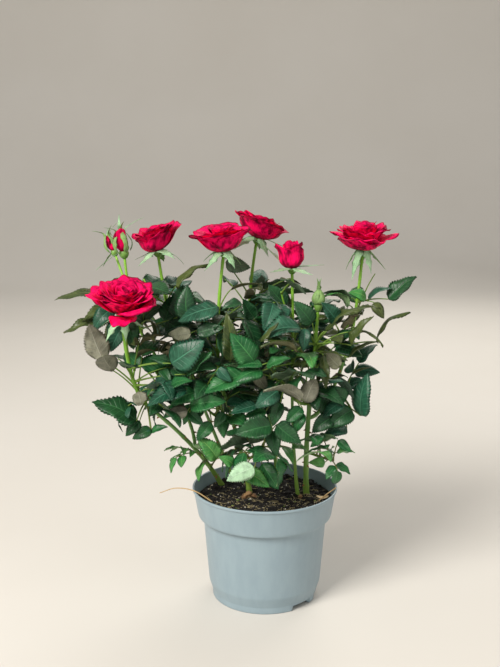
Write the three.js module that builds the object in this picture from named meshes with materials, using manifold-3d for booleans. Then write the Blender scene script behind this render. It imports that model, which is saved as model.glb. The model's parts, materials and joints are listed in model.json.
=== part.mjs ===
import * as THREE from 'three';
import { mergeVertices } from 'three/addons/utils/BufferGeometryUtils.js';
import Module from 'manifold-3d';

const wasm = await Module();
wasm.setup();

// A rose bush in its pot, in millimetres. +Z is up, the origin is the middle of the pot's flat
// underside, and the side that carries the open roses' best view faces -Y.

// The pot: one moulded shell with a collar under its rim and drain notches at its foot
const rimRadius = 60;
const potHeight = 94;
const collarFootRadius = 55.4;
const collarFootHeight = 71.4;
const bodyTopRadius = 51;
const bodyTopHeight = 68.5;
const bodyFootRadius = 46.6;
const bodyFootHeight = 14;
const footRadius = 43.7;
const footHeight = 5.5;
const potWall = 1.5;
const potFloor = 2;
const potSides = 36;
const notchHeight = 4.8;
const notchBelow = 1;
const notchWidthDegrees = 26;
const notchCentresDegrees = [-46, -9, 134, 171];

// The soil, a plug of peat a little below the rim, with a crumbly top
const gap = 0.3;
const soilTop = 84;
const soilRings = [44, 26];
const crumbHeight = 1.3;
const footDepth = 3;

// The wood. A limb runs from its root to its tip, and bow pushes its middle aside.
// A root without a height stands in the soil.
const limbSides = 8;
const limbStep = 13;
const stemStep = 19;
const leastSteps = 3;
const flareLength = 7;
const flareShare = 0.4;
const limbs = [
  { name: 'cane_left', root: [-36, 30], tip: [-92, -28, 169], bow: [12, 0, 0], radii: [2.5, 1.7] },
  { name: 'cane_left_back', root: [-25, 37], tip: [-71, 25, 203], bow: [0, 4, 0], radii: [2.0, 1.4] },
  { name: 'cane_centre', root: [-12, 8], tip: [-33, -10, 174], bow: [4, -6, 0], radii: [2.4, 1.8] },
  { name: 'cane_back', root: [12, 37], tip: [-10, 28, 203], bow: [6, 0, 0], radii: [2.0, 1.5] },
  { name: 'cane_right', root: [35, 7], tip: [37, -18, 188], bow: [-4, -9, 0], radii: [2.8, 2.1] },
  { name: 'cane_right_thin', root: [28, 3], tip: [22, -6, 197], bow: [-4, -4, 0], radii: [1.8, 1.4] },
  { name: 'branch_left', on: 'cane_left', at: 0.5, tip: [-100, 8, 220], radii: [1.8, 1.4] },
  { name: 'branch_right', on: 'cane_right', at: 0.7, tip: [66, 0, 207], radii: [2.0, 1.6] },
];

// Leaves. A spray is one compound leaf: a thin stalk that carries pairs of leaflets and one at
// its end. Its tip is where the end leaflet's point lies.
const leafletWidth = 0.7;
const leafletWidest = 0.47;
const leafletArch = 0.1;
const leafletKeel = 0.8;
const stalkRadius = 0.34;
const stalkStep = 0.12;
const sprayRadii = [1.15, 0.9];
const spraySteps = 2;
const pairStagger = 0.02;
const pairBacks = [0.42, 1.02, 1.55];
const pairSizes = [0.9, 0.8, 0.68];
const firstPairPlace = 0.16;
const leastLeaves = 0.6;

// The ranges that a leaflet's pair and a spray that isn't aimed are drawn from
const pairSpreadDegrees = [50, 66];
const pairDip = [0.25, 0.55];
const pairLength = [0.92, 1.08];
const pairLeanDegrees = [-15, 15];
const turnDegrees = 137.5;
const turnRangeDegrees = 300;
const swayDegrees = [-15, 15];
const pitchDegrees = [8, 42];
const rollDegrees = [-25, 25];
const nodDegrees = [12, 42];
const endSize = [0.85, 1.15];
const stalkReach = [0.7, 1.3];
const stalkArch = 6;
const sevenLeafletShare = 0.25;
const leafyFrom = 0.25;
const flowerStemLeafyTo = 0.55;

// What leaves keep clear of, and the stems they grow on. In an open place, seen from the
// front, only aimed leaves grow.
const leafClear = 1.7;
const openPlaces = [
  { x: -158, z: 274, radius: 22 }, { x: -128, z: 184, radius: 15 }, { x: -102, z: 186, radius: 8 },
  { x: 110, z: 232, radius: 19 }, { x: 113, z: 200, radius: 22 }, { x: 84, z: 150, radius: 18 },
  { x: -8, z: 286, radius: 16 }, { x: 52, z: 282, radius: 20 }, { x: -60, z: 294, radius: 16 },
  { x: 108, z: 290, radius: 18 }, { x: -138, z: 236, radius: 6 }, { x: -44, z: 100, radius: 12 },
  { x: 8, z: 108, radius: 14 }, { x: 54, z: 98, radius: 12 },
];
const potClear = 3;
const twigClear = 1.2;
const flowerBall = { place: 0.6, share: 0.8 };
const sepalBall = { below: 5, radius: 11 };
const stemBend = 0.3;
const stemSides = 5;

// The flowers. Cups of petals stand round a closed core on a calyx. Each cup has a lobe for
// each petal; reach and rise say where its rim lies, and cup how upright its wall is.
const petalThickness = 1;
const petalDip = 0.17;
const petalLean = 0.93;
const cupShares = [0.6, 1, 0.5];
const coreRings = [[1, 0.45], [0.7, 0.85]];
const calyxNeck = [1, -2];
const calyxTop = 0.8;
const sepalSeat = 0.6;
const sepalUprightDegrees = 45;
const sepalWidest = 0.4;
const sepalCount = 5;
const sepals = { length: 17, width: 4.6, pitch: -48 };
const openRose = {
  petals: 5, calyx: [4.6, 6], core: [11.5, 25], sepals,
  cups: [{ reach: 25, rise: 15, cup: 0.55, turn: 0 }, { reach: 18.5, rise: 21, cup: 0.85, turn: 1 }],
};
const cupRose = {
  petals: 5, calyx: [4.4, 6], core: [8.5, 25], sepals: { ...sepals, pitch: -58 },
  cups: [{ reach: 20, rise: 20, cup: 0.6, turn: 1 }, { reach: 12.5, rise: 23, cup: 0.9, turn: 2 }],
};
const halfOpenBud = {
  petals: 5, calyx: [4, 5], core: [6, 21], sepals: { ...sepals, pitch: -12 },
  cups: [{ reach: 10.5, rise: 20, cup: 0.9, turn: 0 }],
};
const closedBud = {
  petals: 3, calyx: [3.4, 5], core: [4.6, 24], cups: [], sepals: { length: 23, width: 5, pitch: 78 },
};
const smallBud = {
  petals: 3, calyx: [3.2, 4], core: [4.8, 18], cups: [], sepals: { length: 17, width: 4, pitch: 52 },
};

// The masses: each is one stem with its sprays, and on most a flower at the stem's tip.
// The first sprays are aimed, the others turn round the stem from the side that facing gives.
const masses = [
  {
    name: 'rose_shoot_left_front', on: 'cane_left', at: 1, tip: [-109, -44, 240], radii: [1.8, 1.5],
    flower: { ...openRose, axis: [-0.08, -0.34, 0.93], size: 1.04 },
    reach: 60, seed: 29, grown: 3, facing: 100, leafSize: 26,
    sprays: [
      { at: 0.2, tip: [-137, -52, 229], size: 27, leaflets: 3, roll: -50, nod: -20, arch: 4 },
      { at: 0.04, tip: [-136, -33, 174], size: 38, leaflets: 3, roll: 30, nod: 20, arch: 4 },
      { at: 0.1, tip: [-112, -44, 153], size: 15, leaflets: 5, roll: 20, nod: 50, arch: 8 },
      { at: 0.25, tip: [-102, -52, 180], size: 20, leaflets: 1, roll: -20, nod: 60, arch: 4 },
    ],
  },
  {
    name: 'bud_shoot_left', on: 'branch_left', at: 1, tip: [-113, 8, 284], radii: [1.4, 1.1],
    flower: { ...smallBud, axis: [-0.15, -0.1, 1], size: 1.12 },
    side: { from: 0.86, tip: [-122, 20, 284], flower: { ...smallBud, axis: [-0.4, 0.1, 1], size: 0.85 } },
    reach: 60, seed: 54, grown: 5, facing: 90, leafSize: 28,
    sprays: [
      { at: 0.2, tip: [-171, 10, 248], size: 38, leaflets: 3, roll: 6, nod: 25, arch: 6 },
      { at: 0.08, tip: [-160, -14, 226], size: 32, leaflets: 3, roll: 12, nod: 18, arch: 6 },
      { at: 0.1, tip: [-66, -6, 263], size: 27, leaflets: 3, roll: 90, nod: -35, arch: 0 },
    ],
  },
  {
    name: 'rose_shoot_left_back', on: 'cane_left_back', at: 1, tip: [-87, 18, 284], radii: [1.5, 1.3],
    flower: { ...cupRose, axis: [-0.12, -0.05, 1], size: 1.0 },
    reach: 58, seed: 65, grown: 9, facing: 60, leafSize: 29,
    sprays: [
      { at: 0.3, tip: [-46, 16, 276], size: 34, leaflets: 3, roll: -10, nod: -10, arch: 4 },
    ],
  },
  {
    name: 'rose_shoot_centre', on: 'cane_centre', at: 1, tip: [-33, -10, 287], radii: [1.9, 1.3],
    flower: { ...openRose, axis: [-0.12, -0.1, 1], size: 0.98 },
    reach: 62, seed: 56, grown: 9, facing: 100, leafSize: 30,
    sprays: [
      { at: 0.03, tip: [-89, -34, 176], size: 33, leaflets: 5, roll: 20, nod: 20, arch: 5 },
      { at: 0.22, tip: [-77, -36, 207], size: 32, leaflets: 5, roll: 25, nod: 22, arch: 5 },
      { at: 0.4, tip: [-80, -16, 228], size: 27, leaflets: 5, roll: 10, nod: 15, arch: 5 },
      { at: 0.56, tip: [-10, -46, 207], size: 36, leaflets: 5, roll: -12, nod: 48, arch: 10 },
      { at: 0.7, tip: [-3, -22, 266], size: 26, leaflets: 3, roll: -20, nod: 20, arch: 4 },
    ],
  },
  {
    name: 'rose_shoot_back', on: 'cane_back', at: 1, tip: [-7, 25, 294], radii: [1.5, 1.3],
    flower: { ...cupRose, axis: [0.05, 0.1, 1], size: 1.0 },
    reach: 60, seed: 59, grown: 8, facing: 70, leafSize: 29,
    sprays: [
      { at: 0.45, tip: [42, 16, 254], size: 34, leaflets: 5, roll: -20, nod: 12, arch: 6 },
    ],
  },
  {
    name: 'bud_shoot_centre', on: 'cane_right_thin', at: 1, tip: [21, -5, 273], radii: [1.4, 1.2],
    flower: { ...halfOpenBud, axis: [0, 0, 1], size: 1.0 },
    reach: 58, seed: 57, grown: 6, facing: 60, leafSize: 28,
    sprays: [
      { at: 0.5, tip: [38, 8, 228], size: 27, leaflets: 1, roll: 65, nod: 20, arch: 4 },
    ],
  },
  {
    name: 'bud_shoot_right', on: 'cane_right', at: 1, tip: [41, -18, 245], radii: [2.2, 1.2],
    flower: { ...closedBud, axis: [0.02, 0, 1], size: 1.0 },
    reach: 60, seed: 58, grown: 4, facing: 20, leafSize: 28,
    sprays: [
      { at: 0.04, tip: [-2, -48, 180], size: 38, leaflets: 3, roll: 30, nod: 12, arch: 5 },
      { at: 0.3, tip: [46, -46, 188], size: 26, leaflets: 5, roll: 10, nod: 50, arch: 10 },
      { at: 0.5, tip: [54, -34, 214], size: 22, leaflets: 3, roll: 0, nod: 30, arch: 5 },
    ],
  },
  {
    name: 'rose_shoot_right', on: 'branch_right', at: 1, tip: [77, 0, 287], radii: [1.6, 1.3],
    flower: { ...openRose, axis: [0.1, -0.05, 1], size: 1.04 },
    reach: 62, seed: 18, grown: 4, facing: 90, leafSize: 26,
    sprays: [
      { at: 0.4, tip: [121, 8, 270], size: 30, leaflets: 7, roll: 30, nod: 15, arch: 6 },
      { at: 0.5, tip: [47, -10, 257], size: 24, leaflets: 3, roll: 10, nod: 5, arch: 4 },
      { at: 0.1, tip: [113, -4, 243], size: 36, leaflets: 3, roll: 0, nod: -15, arch: 2 },
    ],
  },
  {
    name: 'leaves_right', on: 'branch_right', at: 0.45, tip: [66, -12, 180], radii: [1.3, 1.0],
    reach: 52, seed: 21, grown: 3, facing: 40, leafSize: 24,
    sprays: [
      { at: 0.5, tip: [84, -31, 197], size: 37, leaflets: 1, roll: 75, nod: -40, arch: 2 },
      { at: 0.8, tip: [90, 4, 214], size: 22, leaflets: 5, roll: 10, nod: 8, arch: 3 },
    ],
  },
  {
    name: 'leaves_low_right', on: 'cane_right', at: 0.42, tip: [54, -26, 124], radii: [1.2, 0.9],
    reach: 40, seed: 22, grown: 2, facing: 60, leafSize: 20,
    sprays: [
      { at: 0.9, tip: [72, -22, 130], size: 15, leaflets: 3, roll: 10, nod: 15, arch: 3 },
      { at: 0.95, tip: [55, -34, 107], size: 15, leaflets: 3, roll: 0, nod: 55, arch: 3 },
      { at: 0.4, tip: [47, -42, 142], size: 16, leaflets: 3, roll: 0, nod: 10, arch: 4 },
    ],
  },
  {
    name: 'leaves_low_centre', on: 'cane_centre', at: 0.42, tip: [-2, -36, 140], radii: [1.5, 1.1],
    reach: 48, seed: 23, grown: 1, facing: -80, leafSize: 25,
    sprays: [
      { at: 0.55, tip: [-28, -60, 157], size: 30, leaflets: 3, roll: 20, nod: 15, arch: 5 },
      { at: 0.95, tip: [29, -50, 146], size: 26, leaflets: 3, roll: -10, nod: 10, arch: 5 },
      { at: 0.3, tip: [-32, -50, 118], size: 24, leaflets: 3, roll: 40, nod: 45, arch: 8 },
      { at: 0.8, tip: [8, -58, 113], size: 24, leaflets: 3, roll: -20, nod: 62, arch: 12 },
      { at: 0.6, tip: [-18, -58, 116], size: 24, leaflets: 3, roll: 20, nod: 60, arch: 10 },
    ],
  },
  {
    name: 'leaves_low_left', on: 'cane_left', at: 0.3, tip: [-52, -14, 126], radii: [1.2, 0.9],
    reach: 42, seed: 24, grown: 1, facing: 180, leafSize: 18,
    sprays: [
      { at: 0.8, tip: [-81, -26, 133], size: 13, leaflets: 5, roll: 10, nod: 20, arch: 5 },
      { at: 0.9, tip: [-56, -34, 140], size: 18, leaflets: 3, roll: 10, nod: 5, arch: 3 },
      { at: 1, tip: [-76, -30, 115], size: 13, leaflets: 3, roll: 0, nod: 45, arch: 4 },
    ],
  },
  {
    name: 'leaves_mid_left', on: 'branch_left', at: 0.55, tip: [-88, -16, 196], radii: [1.3, 1.0],
    reach: 48, seed: 61, grown: 9, facing: -60, leafSize: 26, sprays: [],
  },
  {
    name: 'leaves_mid_front', on: 'cane_centre', at: 0.8, tip: [-52, -36, 176], radii: [1.3, 1.0],
    reach: 46, seed: 72, grown: 10, facing: -90, leafSize: 26, sprays: [],
  },
  {
    name: 'leaves_mid_right', on: 'cane_right', at: 0.82, tip: [14, -38, 190], radii: [1.3, 1.0],
    reach: 46, seed: 63, grown: 10, facing: -110, leafSize: 26, sprays: [],
  },
  {
    name: 'leaves_back_left', on: 'cane_left_back', at: 0.6, tip: [-66, 48, 188], radii: [1.4, 1.0],
    reach: 56, seed: 31, grown: 8, facing: 125, leafSize: 29,
    sprays: [{ at: 0.7, tip: [-80, 104, 200], size: 28, leaflets: 5, roll: 0, nod: 15, arch: 6 }],
  },
  {
    name: 'leaves_back_centre', on: 'cane_back', at: 0.45, tip: [-2, 56, 176], radii: [1.4, 1.0],
    reach: 56, seed: 32, grown: 8, facing: 95, leafSize: 29,
    sprays: [{ at: 0.7, tip: [-8, 108, 196], size: 28, leaflets: 5, roll: 0, nod: 15, arch: 6 }],
  },
  {
    name: 'leaves_back_right', on: 'cane_back', at: 0.75, tip: [36, 42, 206], radii: [1.4, 1.0],
    reach: 56, seed: 33, grown: 8, facing: 50, leafSize: 28,
    sprays: [{ at: 0.9, tip: [60, 94, 218], size: 28, leaflets: 5, roll: 0, nod: 15, arch: 6 }],
  },
];

// Colours, roughness and names of the finishes
const finishes = {
  pot: { color: 0x6f7d80, roughness: 0.55 },
  soil: { color: 0x33281f, roughness: 1 },
  wood: { color: 0x6e7d33, roughness: 0.6 },
  leaf: { color: 0x2f5a24, roughness: 0.5 },
};

const up = new THREE.Vector3(0, 0, 1);
const radians = THREE.MathUtils.degToRad;
const lerp = THREE.MathUtils.lerp;
const vector = (list) => new THREE.Vector3(list[0], list[1], list[2] ?? 0);
const along = (from, direction, distance) => from.clone().addScaledVector(direction, distance);

// A closed body from its corner points and triangles: doubled points are merged, and
// triangles that have shrunk to a line are left out.
function bodyFrom(points, triangles) {
  const geometry = new THREE.BufferGeometry();
  geometry.setAttribute('position', new THREE.Float32BufferAttribute(points.flatMap((p) => p.toArray()), 3));
  geometry.setIndex(triangles.flat());
  return solidOf(geometry);
}

function solidOf(geometry) {
  const bare = geometry.clone();
  bare.deleteAttribute('normal');
  bare.deleteAttribute('uv');
  const merged = mergeVertices(bare, 1e-3);
  const index = merged.getIndex().array;
  const kept = [];
  for (let i = 0; i < index.length; i += 3) {
    const [a, b, c] = [index[i], index[i + 1], index[i + 2]];
    if (a !== b && b !== c && c !== a) kept.push(a, b, c);
  }
  return new wasm.Manifold(new wasm.Mesh({
    numProp: 3,
    vertProperties: new Float32Array(merged.getAttribute('position').array),
    triVerts: new Uint32Array(kept),
  }));
}

// A body lofted through rings of equal count; a ring of one point closes it to a tip.
function loft(rings) {
  const sides = rings[0].length;
  const points = rings.flat();
  const triangles = [];
  for (let k = 2; k < sides; k += 1) triangles.push([0, k, k - 1]);
  let start = 0;
  for (let i = 1; i < rings.length; i += 1) {
    const next = start + sides;
    for (let k = 0; k < sides; k += 1) {
      const far = (k + 1) % sides;
      if (rings[i].length === 1) {
        triangles.push([start + k, start + far, next]);
      } else {
        triangles.push([start + k, start + far, next + far], [start + k, next + far, next + k]);
      }
    }
    start = next;
  }
  if (rings.at(-1).length > 1) {
    for (let k = 2; k < sides; k += 1) triangles.push([start, start + k - 1, start + k]);
  }
  return bodyFrom(points, triangles);
}

// Two directions across a heading; the second is the one nearest to a given upward side.
function crossDirections(heading, upward) {
  const side = heading.clone().cross(upward);
  if (side.lengthSq() < 1e-4) side.set(1, 0, 0).cross(heading);
  side.normalize();
  return { side, rise: side.clone().cross(heading).normalize() };
}

// A limb, stem or stalk follows a curve from its root to its tip, drawn towards its middle, in
// straight steps. What grows on it stands on these steps.
function follow(limb, root, middle, tip, leastSteps, step) {
  limb.curve = new THREE.QuadraticBezierCurve3(root, middle, tip);
  limb.length = limb.curve.getLength();
  limb.steps = Math.max(leastSteps, Math.round(limb.length / step));
  return limb;
}

function pointOn(limb, t) {
  const step = Math.min(Math.floor(t * limb.steps), limb.steps - 1);
  const from = limb.curve.getPoint(step / limb.steps);
  const to = limb.curve.getPoint((step + 1) / limb.steps);
  return { point: from.clone().lerp(to, t * limb.steps - step), heading: to.sub(from).normalize() };
}

function radiusAt(limb, t) {
  const flare = limb.flare ? flareShare * Math.exp(-t * limb.length / flareLength) : 0;
  return lerp(limb.radii[0], limb.radii[1], t) * (1 + flare);
}

// A round tapering tube along a limb's curve, made thicker by grow for the socket it stands in.
function tubeOf(limb, sides, grow = 0) {
  const rings = [];
  for (let i = 0; i <= limb.steps; i += 1) {
    const t = i / limb.steps;
    const heading = limb.curve.getTangent(t);
    const { side, rise } = crossDirections(heading, new THREE.Vector3(0, 1, 0));
    const centre = limb.curve.getPoint(t);
    if (i === 0) centre.addScaledVector(heading, -grow);
    const radius = radiusAt(limb, t) + grow;
    const ring = [];
    for (let k = 0; k < sides; k += 1) {
      const angle = -2 * Math.PI * k / sides;
      ring.push(along(along(centre, side, radius * Math.cos(angle)), rise, radius * Math.sin(angle)));
    }
    rings.push(ring);
  }
  return loft(rings);
}

// The soil's top is crumbly: it rises and falls by a little more than a crumb.
function soilRise(x, y) {
  return crumbHeight * (Math.sin(x / 6.1 + 1.3) * Math.cos(y / 5.3) + 0.4 * Math.sin((x + y) / 3.7));
}

// A stem that grows from a limb starts a gap clear of it: past its flat tip, or beside it.
function rootOnLimb(limb, at, tip) {
  const centre = limb.curve.getPoint(at);
  const heading = limb.curve.getTangent(at);
  if (at === 1) return { root: along(centre, heading, gap), heading };
  const away = tip.clone().sub(centre);
  away.addScaledVector(heading, -away.dot(heading)).normalize();
  return { root: along(centre, away, radiusAt(limb, at) + gap), heading: away };
}

const limbNamed = {};
for (const limb of limbs) {
  const tip = vector(limb.tip);
  if (limb.on) {
    const { root, heading } = rootOnLimb(limbNamed[limb.on], limb.at, tip);
    follow(limb, root, along(root, heading, stemBend * root.distanceTo(tip)), tip, leastSteps, limbStep);
  } else {
    const [x, y] = limb.root;
    limb.flare = true;
    const root = new THREE.Vector3(x, y, soilTop + soilRise(x, y) - footDepth);
    const middle = root.clone().add(tip).multiplyScalar(0.5).add(vector(limb.bow));
    follow(limb, root, middle, tip, leastSteps, limbStep);
  }
  limbNamed[limb.name] = limb;
}

for (const mass of masses) {
  const tip = vector(mass.tip);
  const { root, heading } = rootOnLimb(limbNamed[mass.on], mass.at, tip);
  follow(mass, root, along(root, heading, stemBend * root.distanceTo(tip)), tip, leastSteps, stemStep);
  mass.middle = mass.curve.getPoint(0.5);
  mass.reach += mass.length / 2;
}

// Seeded numbers from 0 to 1, and one between two limits
const between = ([low, high], random) => low + (high - low) * random();

function seeded(seed) {
  let state = (seed * 7919 + 17) >>> 0;
  return () => {
    state = (Math.imul(state, 1664525) + 1013904223) >>> 0;
    return state / 4294967296;
  };
}

// What leaves and twigs keep clear of: round spots along the wood and at the flowers, bars
// in and round the wood and the stalks, and the panels of the leaflets that have grown
const spots = [];
const bars = [];
const panels = [];

function markBars(curve, steps, radius) {
  const place = (t, across, over) => {
    const { side, rise } = crossDirections(curve.getTangent(t), new THREE.Vector3(0, 1, 0));
    return along(along(curve.getPoint(t), side, across * radius), rise, over * radius);
  };
  for (let i = 0; i < steps; i += 1) {
    for (const [across, over] of [[0, 0], [1, 0], [0, 1], [-1, 0], [0, -1]]) {
      bars.push({ from: place(i / steps, across, over), to: place((i + 1) / steps, across, over) });
    }
  }
}

function markLimb(limb, owner) {
  const steps = Math.ceil(limb.length / 4);
  for (let i = 0; i <= steps; i += 1) {
    const t = i / steps;
    spots.push({ centre: limb.curve.getPoint(t), radius: radiusAt(limb, t) + twigClear, owner });
  }
  markBars(limb.curve, 6, limb.radii[0]);
}

// Whether a bar passes through a panel of three corners
function pierces(from, to, [a, b, c]) {
  const way = to.clone().sub(from);
  const ab = b.clone().sub(a);
  const ac = c.clone().sub(a);
  const p = way.clone().cross(ac);
  const facing = ab.dot(p);
  if (Math.abs(facing) < 1e-9) return false;
  const start = from.clone().sub(a);
  const u = start.dot(p) / facing;
  const q = start.cross(ab);
  const v = way.dot(q) / facing;
  const t = ac.dot(q) / facing;
  return u >= 0 && v >= 0 && u + v <= 1 && t >= 0 && t <= 1;
}

function isFree(points, clearance, mass, spared) {
  return points.every((p) => {
    const overPot = p.z < potHeight + potClear && Math.hypot(p.x, p.y) < rimRadius + potClear;
    if (overPot || p.distanceTo(mass.middle) > mass.reach) return false;
    return spots.every((spot) => spot.owner === spared
      || p.distanceTo(spot.centre) > spot.radius + clearance);
  });
}

// A leaflet: a flat-topped oval blade with a keel along its midrib, arched from stalk to point.
function leafletFrame(root, heading, upward, length) {
  const { side, rise } = crossDirections(heading, upward);
  return { root, heading, side, rise, length, width: length * leafletWidth };
}

function leafletPoint(leaf, across, share, lift = 0) {
  const middle = along(along(leaf.root, leaf.heading, share * leaf.length), leaf.side, across);
  return middle.addScaledVector(leaf.rise, lift);
}

function leafletSpots(leaf) {
  const half = leaf.width / 2;
  const arch = leafletArch * leaf.length;
  return [
    leafletPoint(leaf, 0, 0.25, arch / 2),
    leafletPoint(leaf, 0, 0.5, arch),
    leafletPoint(leaf, 0, 0.88),
    leafletPoint(leaf, -0.65 * half, 0.48, arch),
    leafletPoint(leaf, 0.65 * half, 0.48, arch),
  ];
}

function leafletPanels(leaf) {
  const lift = leafletArch * leaf.length;
  const left = leafletPoint(leaf, -leaf.width / 2, leafletWidest, lift);
  const right = leafletPoint(leaf, leaf.width / 2, leafletWidest, lift);
  const tip = leafletPoint(leaf, 0, 1);
  return [[leaf.root, left, right], [left, tip, right]];
}

// A leaflet grows where its spots are free, its edges pass through no other leaflet, and no
// stalk or limb passes through it.
function leafletIsFree(leaf, mass, aimed) {
  const places = leafletSpots(leaf);
  const isOpen = (p) => openPlaces.some(({ x, z, radius }) => Math.hypot(p.x - x, p.z - z) < radius);
  if (!isFree(places, leafClear, mass) || (!aimed && places.some(isOpen))) return false;
  const own = leafletPanels(leaf);
  const [root, left, right] = own[0];
  const tip = own[1][1];
  const edges = [[root, left], [left, tip], [tip, right], [right, root], [left, right]];
  return !panels.some((panel) => edges.some(([from, to]) => pierces(from, to, panel)))
    && !bars.some((bar) => own.some((panel) => pierces(bar.from, bar.to, panel)));
}

function sepalSolid(sepal) {
  const middle = leafletPoint(sepal, 0, sepalWidest);
  return loft([
    keeledRing(sepal.root, sepal.side, sepal.rise, sepal.width / 3, 0, leafletKeel),
    keeledRing(middle, sepal.side, sepal.rise, sepal.width / 2, 0, leafletKeel),
    [leafletPoint(sepal, 0, 1)],
  ]);
}

// Three corners across a leaflet or a stalk: the two edges and the keel below them
function keeledRing(centre, side, rise, half, edgeLift, keelDrop) {
  return [
    along(along(centre, side, -half), rise, edgeLift),
    along(along(centre, side, half), rise, edgeLift),
    along(centre, rise, -keelDrop),
  ];
}

function bladeRings(leaf) {
  const centre = leafletPoint(leaf, 0, leafletWidest, leafletArch * leaf.length);
  return [
    keeledRing(centre, leaf.side, leaf.rise, leaf.width / 2, 0, leafletKeel),
    [leafletPoint(leaf, 0, 1)],
  ];
}

function leafletSolid(leaf) {
  const root = keeledRing(leaf.root, leaf.side, leaf.rise, stalkRadius, stalkRadius / 2, stalkRadius);
  return loft([root, ...bladeRings(leaf)]);
}

// A spray's stalk, which runs on into the leaflet at its end
function stalkSolid(stalk, upward, endLeaf) {
  const rings = [];
  for (let i = 0; i <= stalk.steps; i += 1) {
    const t = i / stalk.steps;
    const { side, rise } = crossDirections(stalk.curve.getTangent(t), upward);
    const radius = radiusAt(stalk, t);
    rings.push(keeledRing(stalk.curve.getPoint(t), side, rise, radius * 0.87, radius / 2, radius));
  }
  return loft([...rings, ...bladeRings(endLeaf)]);
}

// Turns a direction about an axis by an angle in degrees
function turned(direction, axis, degrees) {
  return direction.clone().applyAxisAngle(axis, radians(degrees));
}

// Grows one spray: its stalk from the stem, then its leaflets from the end back to the stem.
// A leaflet that would touch another mass or a limb is left out, and so is a whole spray whose
// stalk or end leaflet is blocked, or that would lose too many leaflets.
function growSpray(mass, spray, aimed) {
  const { random } = mass;
  const foot = pointOn(mass, spray.at).point;
  const tip = vector(spray.tip);
  const aim = tip.clone().sub(foot).normalize();
  const level = crossDirections(aim, up).side;
  const endHeading = turned(aim, level, -spray.nod);
  const end = along(tip, endHeading, -spray.size);
  const middle = foot.clone().add(end).multiplyScalar(0.5).addScaledVector(up, spray.arch);
  const stalk = follow({ radii: sprayRadii }, foot, middle, end, spraySteps, Infinity);
  const stalkSpots = [0.4, 0.6, 0.8, 1].map((t) => pointOn(stalk, t).point);
  const bend = stalk.curve.getPoint(0.5);
  const blocked = panels.some((panel) => pierces(foot, bend, panel) || pierces(bend, end, panel));
  if (blocked || !isFree(stalkSpots, twigClear, mass, mass.name)) return [];
  const upward = turned(crossDirections(aim, up).rise, aim, spray.roll);
  const endLeaf = leafletFrame(end, endHeading, upward, spray.size);
  const leaves = [endLeaf];
  for (let pair = 0; pair < (spray.leaflets - 1) / 2; pair += 1) {
    const place = 1 - pairBacks[pair] * spray.size / stalk.length;
    if (place < firstPairPlace) break;
    for (const hand of [-1, 1]) {
      const { point, heading } = pointOn(stalk, place + hand * pairStagger);
      const { side, rise } = crossDirections(heading, upward);
      const spread = radians(between(pairSpreadDegrees, random));
      const dip = between(pairDip, random);
      const length = spray.size * pairSizes[pair] * between(pairLength, random);
      const lean = between(pairLeanDegrees, random);
      const out = heading.clone().multiplyScalar(Math.cos(spread));
      out.addScaledVector(side, hand * Math.sin(spread));
      out.addScaledVector(rise, -dip).normalize();
      const root = along(point, out, stalkStep);
      leaves.push(leafletFrame(root, out, turned(rise, out, lean), length));
    }
  }
  const grown = leaves.filter((leaf) => leafletIsFree(leaf, mass, aimed));
  if (grown[0] !== endLeaf || grown.length < leastLeaves * leaves.length) return [];
  for (const leaf of grown) {
    for (const centre of leafletSpots(leaf)) spots.push({ centre, radius: leafClear, owner: mass.name });
    panels.push(...leafletPanels(leaf));
  }
  for (const centre of stalkSpots) spots.push({ centre, radius: twigClear, owner: mass.name });
  markBars(stalk.curve, spraySteps, 0);
  return [stalkSolid(stalk, upward, endLeaf), ...grown.slice(1).map(leafletSolid)];
}

// The sprays that aren't aimed turn round the stem by the golden angle as they climb it.
function grownSpray(mass, order) {
  const { random } = mass;
  const share = (order + random()) / mass.grown;
  const at = mass.flower ? flowerStemLeafyTo * share : lerp(leafyFrom, 1, share);
  const swing = ((order * turnDegrees) % turnRangeDegrees) - turnRangeDegrees / 2;
  const azimuth = radians(mass.facing + swing + between(swayDegrees, random));
  const pitch = radians(between(pitchDegrees, random));
  const size = mass.leafSize * between(endSize, random);
  const length = size + mass.leafSize * between(stalkReach, random);
  const direction = new THREE.Vector3(
    Math.cos(azimuth) * Math.cos(pitch), Math.sin(azimuth) * Math.cos(pitch), Math.sin(pitch));
  const tip = along(pointOn(mass, at).point, direction, length).toArray();
  const leaflets = random() < sevenLeafletShare ? 7 : 5;
  const roll = between(rollDegrees, random);
  const nod = between(nodDegrees, random);
  return { at, tip, size, leaflets, roll, nod, arch: stalkArch };
}

// Where a cup's wall lies at a share of the way from the calyx to its rim, and at one of its
// sides. Every third side is a dip between two petals.
function cupPoint(cup, share, side, inside) {
  const quarter = share * Math.PI / 2;
  const outward = lerp(share, Math.sin(quarter), cup.cup);
  const upward = lerp(Math.sin(quarter), 1 - Math.cos(quarter), cup.cup);
  const dip = (side + cup.turn) % 3 === 0 ? petalDip * share * share : 0;
  const lean = Math.floor((side + cup.turn) / 3) % 2 === 0 ? 1 : petalLean;
  return {
    radius: cup.reach * lean * (1 - dip / 2) * outward - inside * petalThickness,
    height: cup.rise * lean * upward * (1 - dip) + inside * petalThickness,
  };
}

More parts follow.
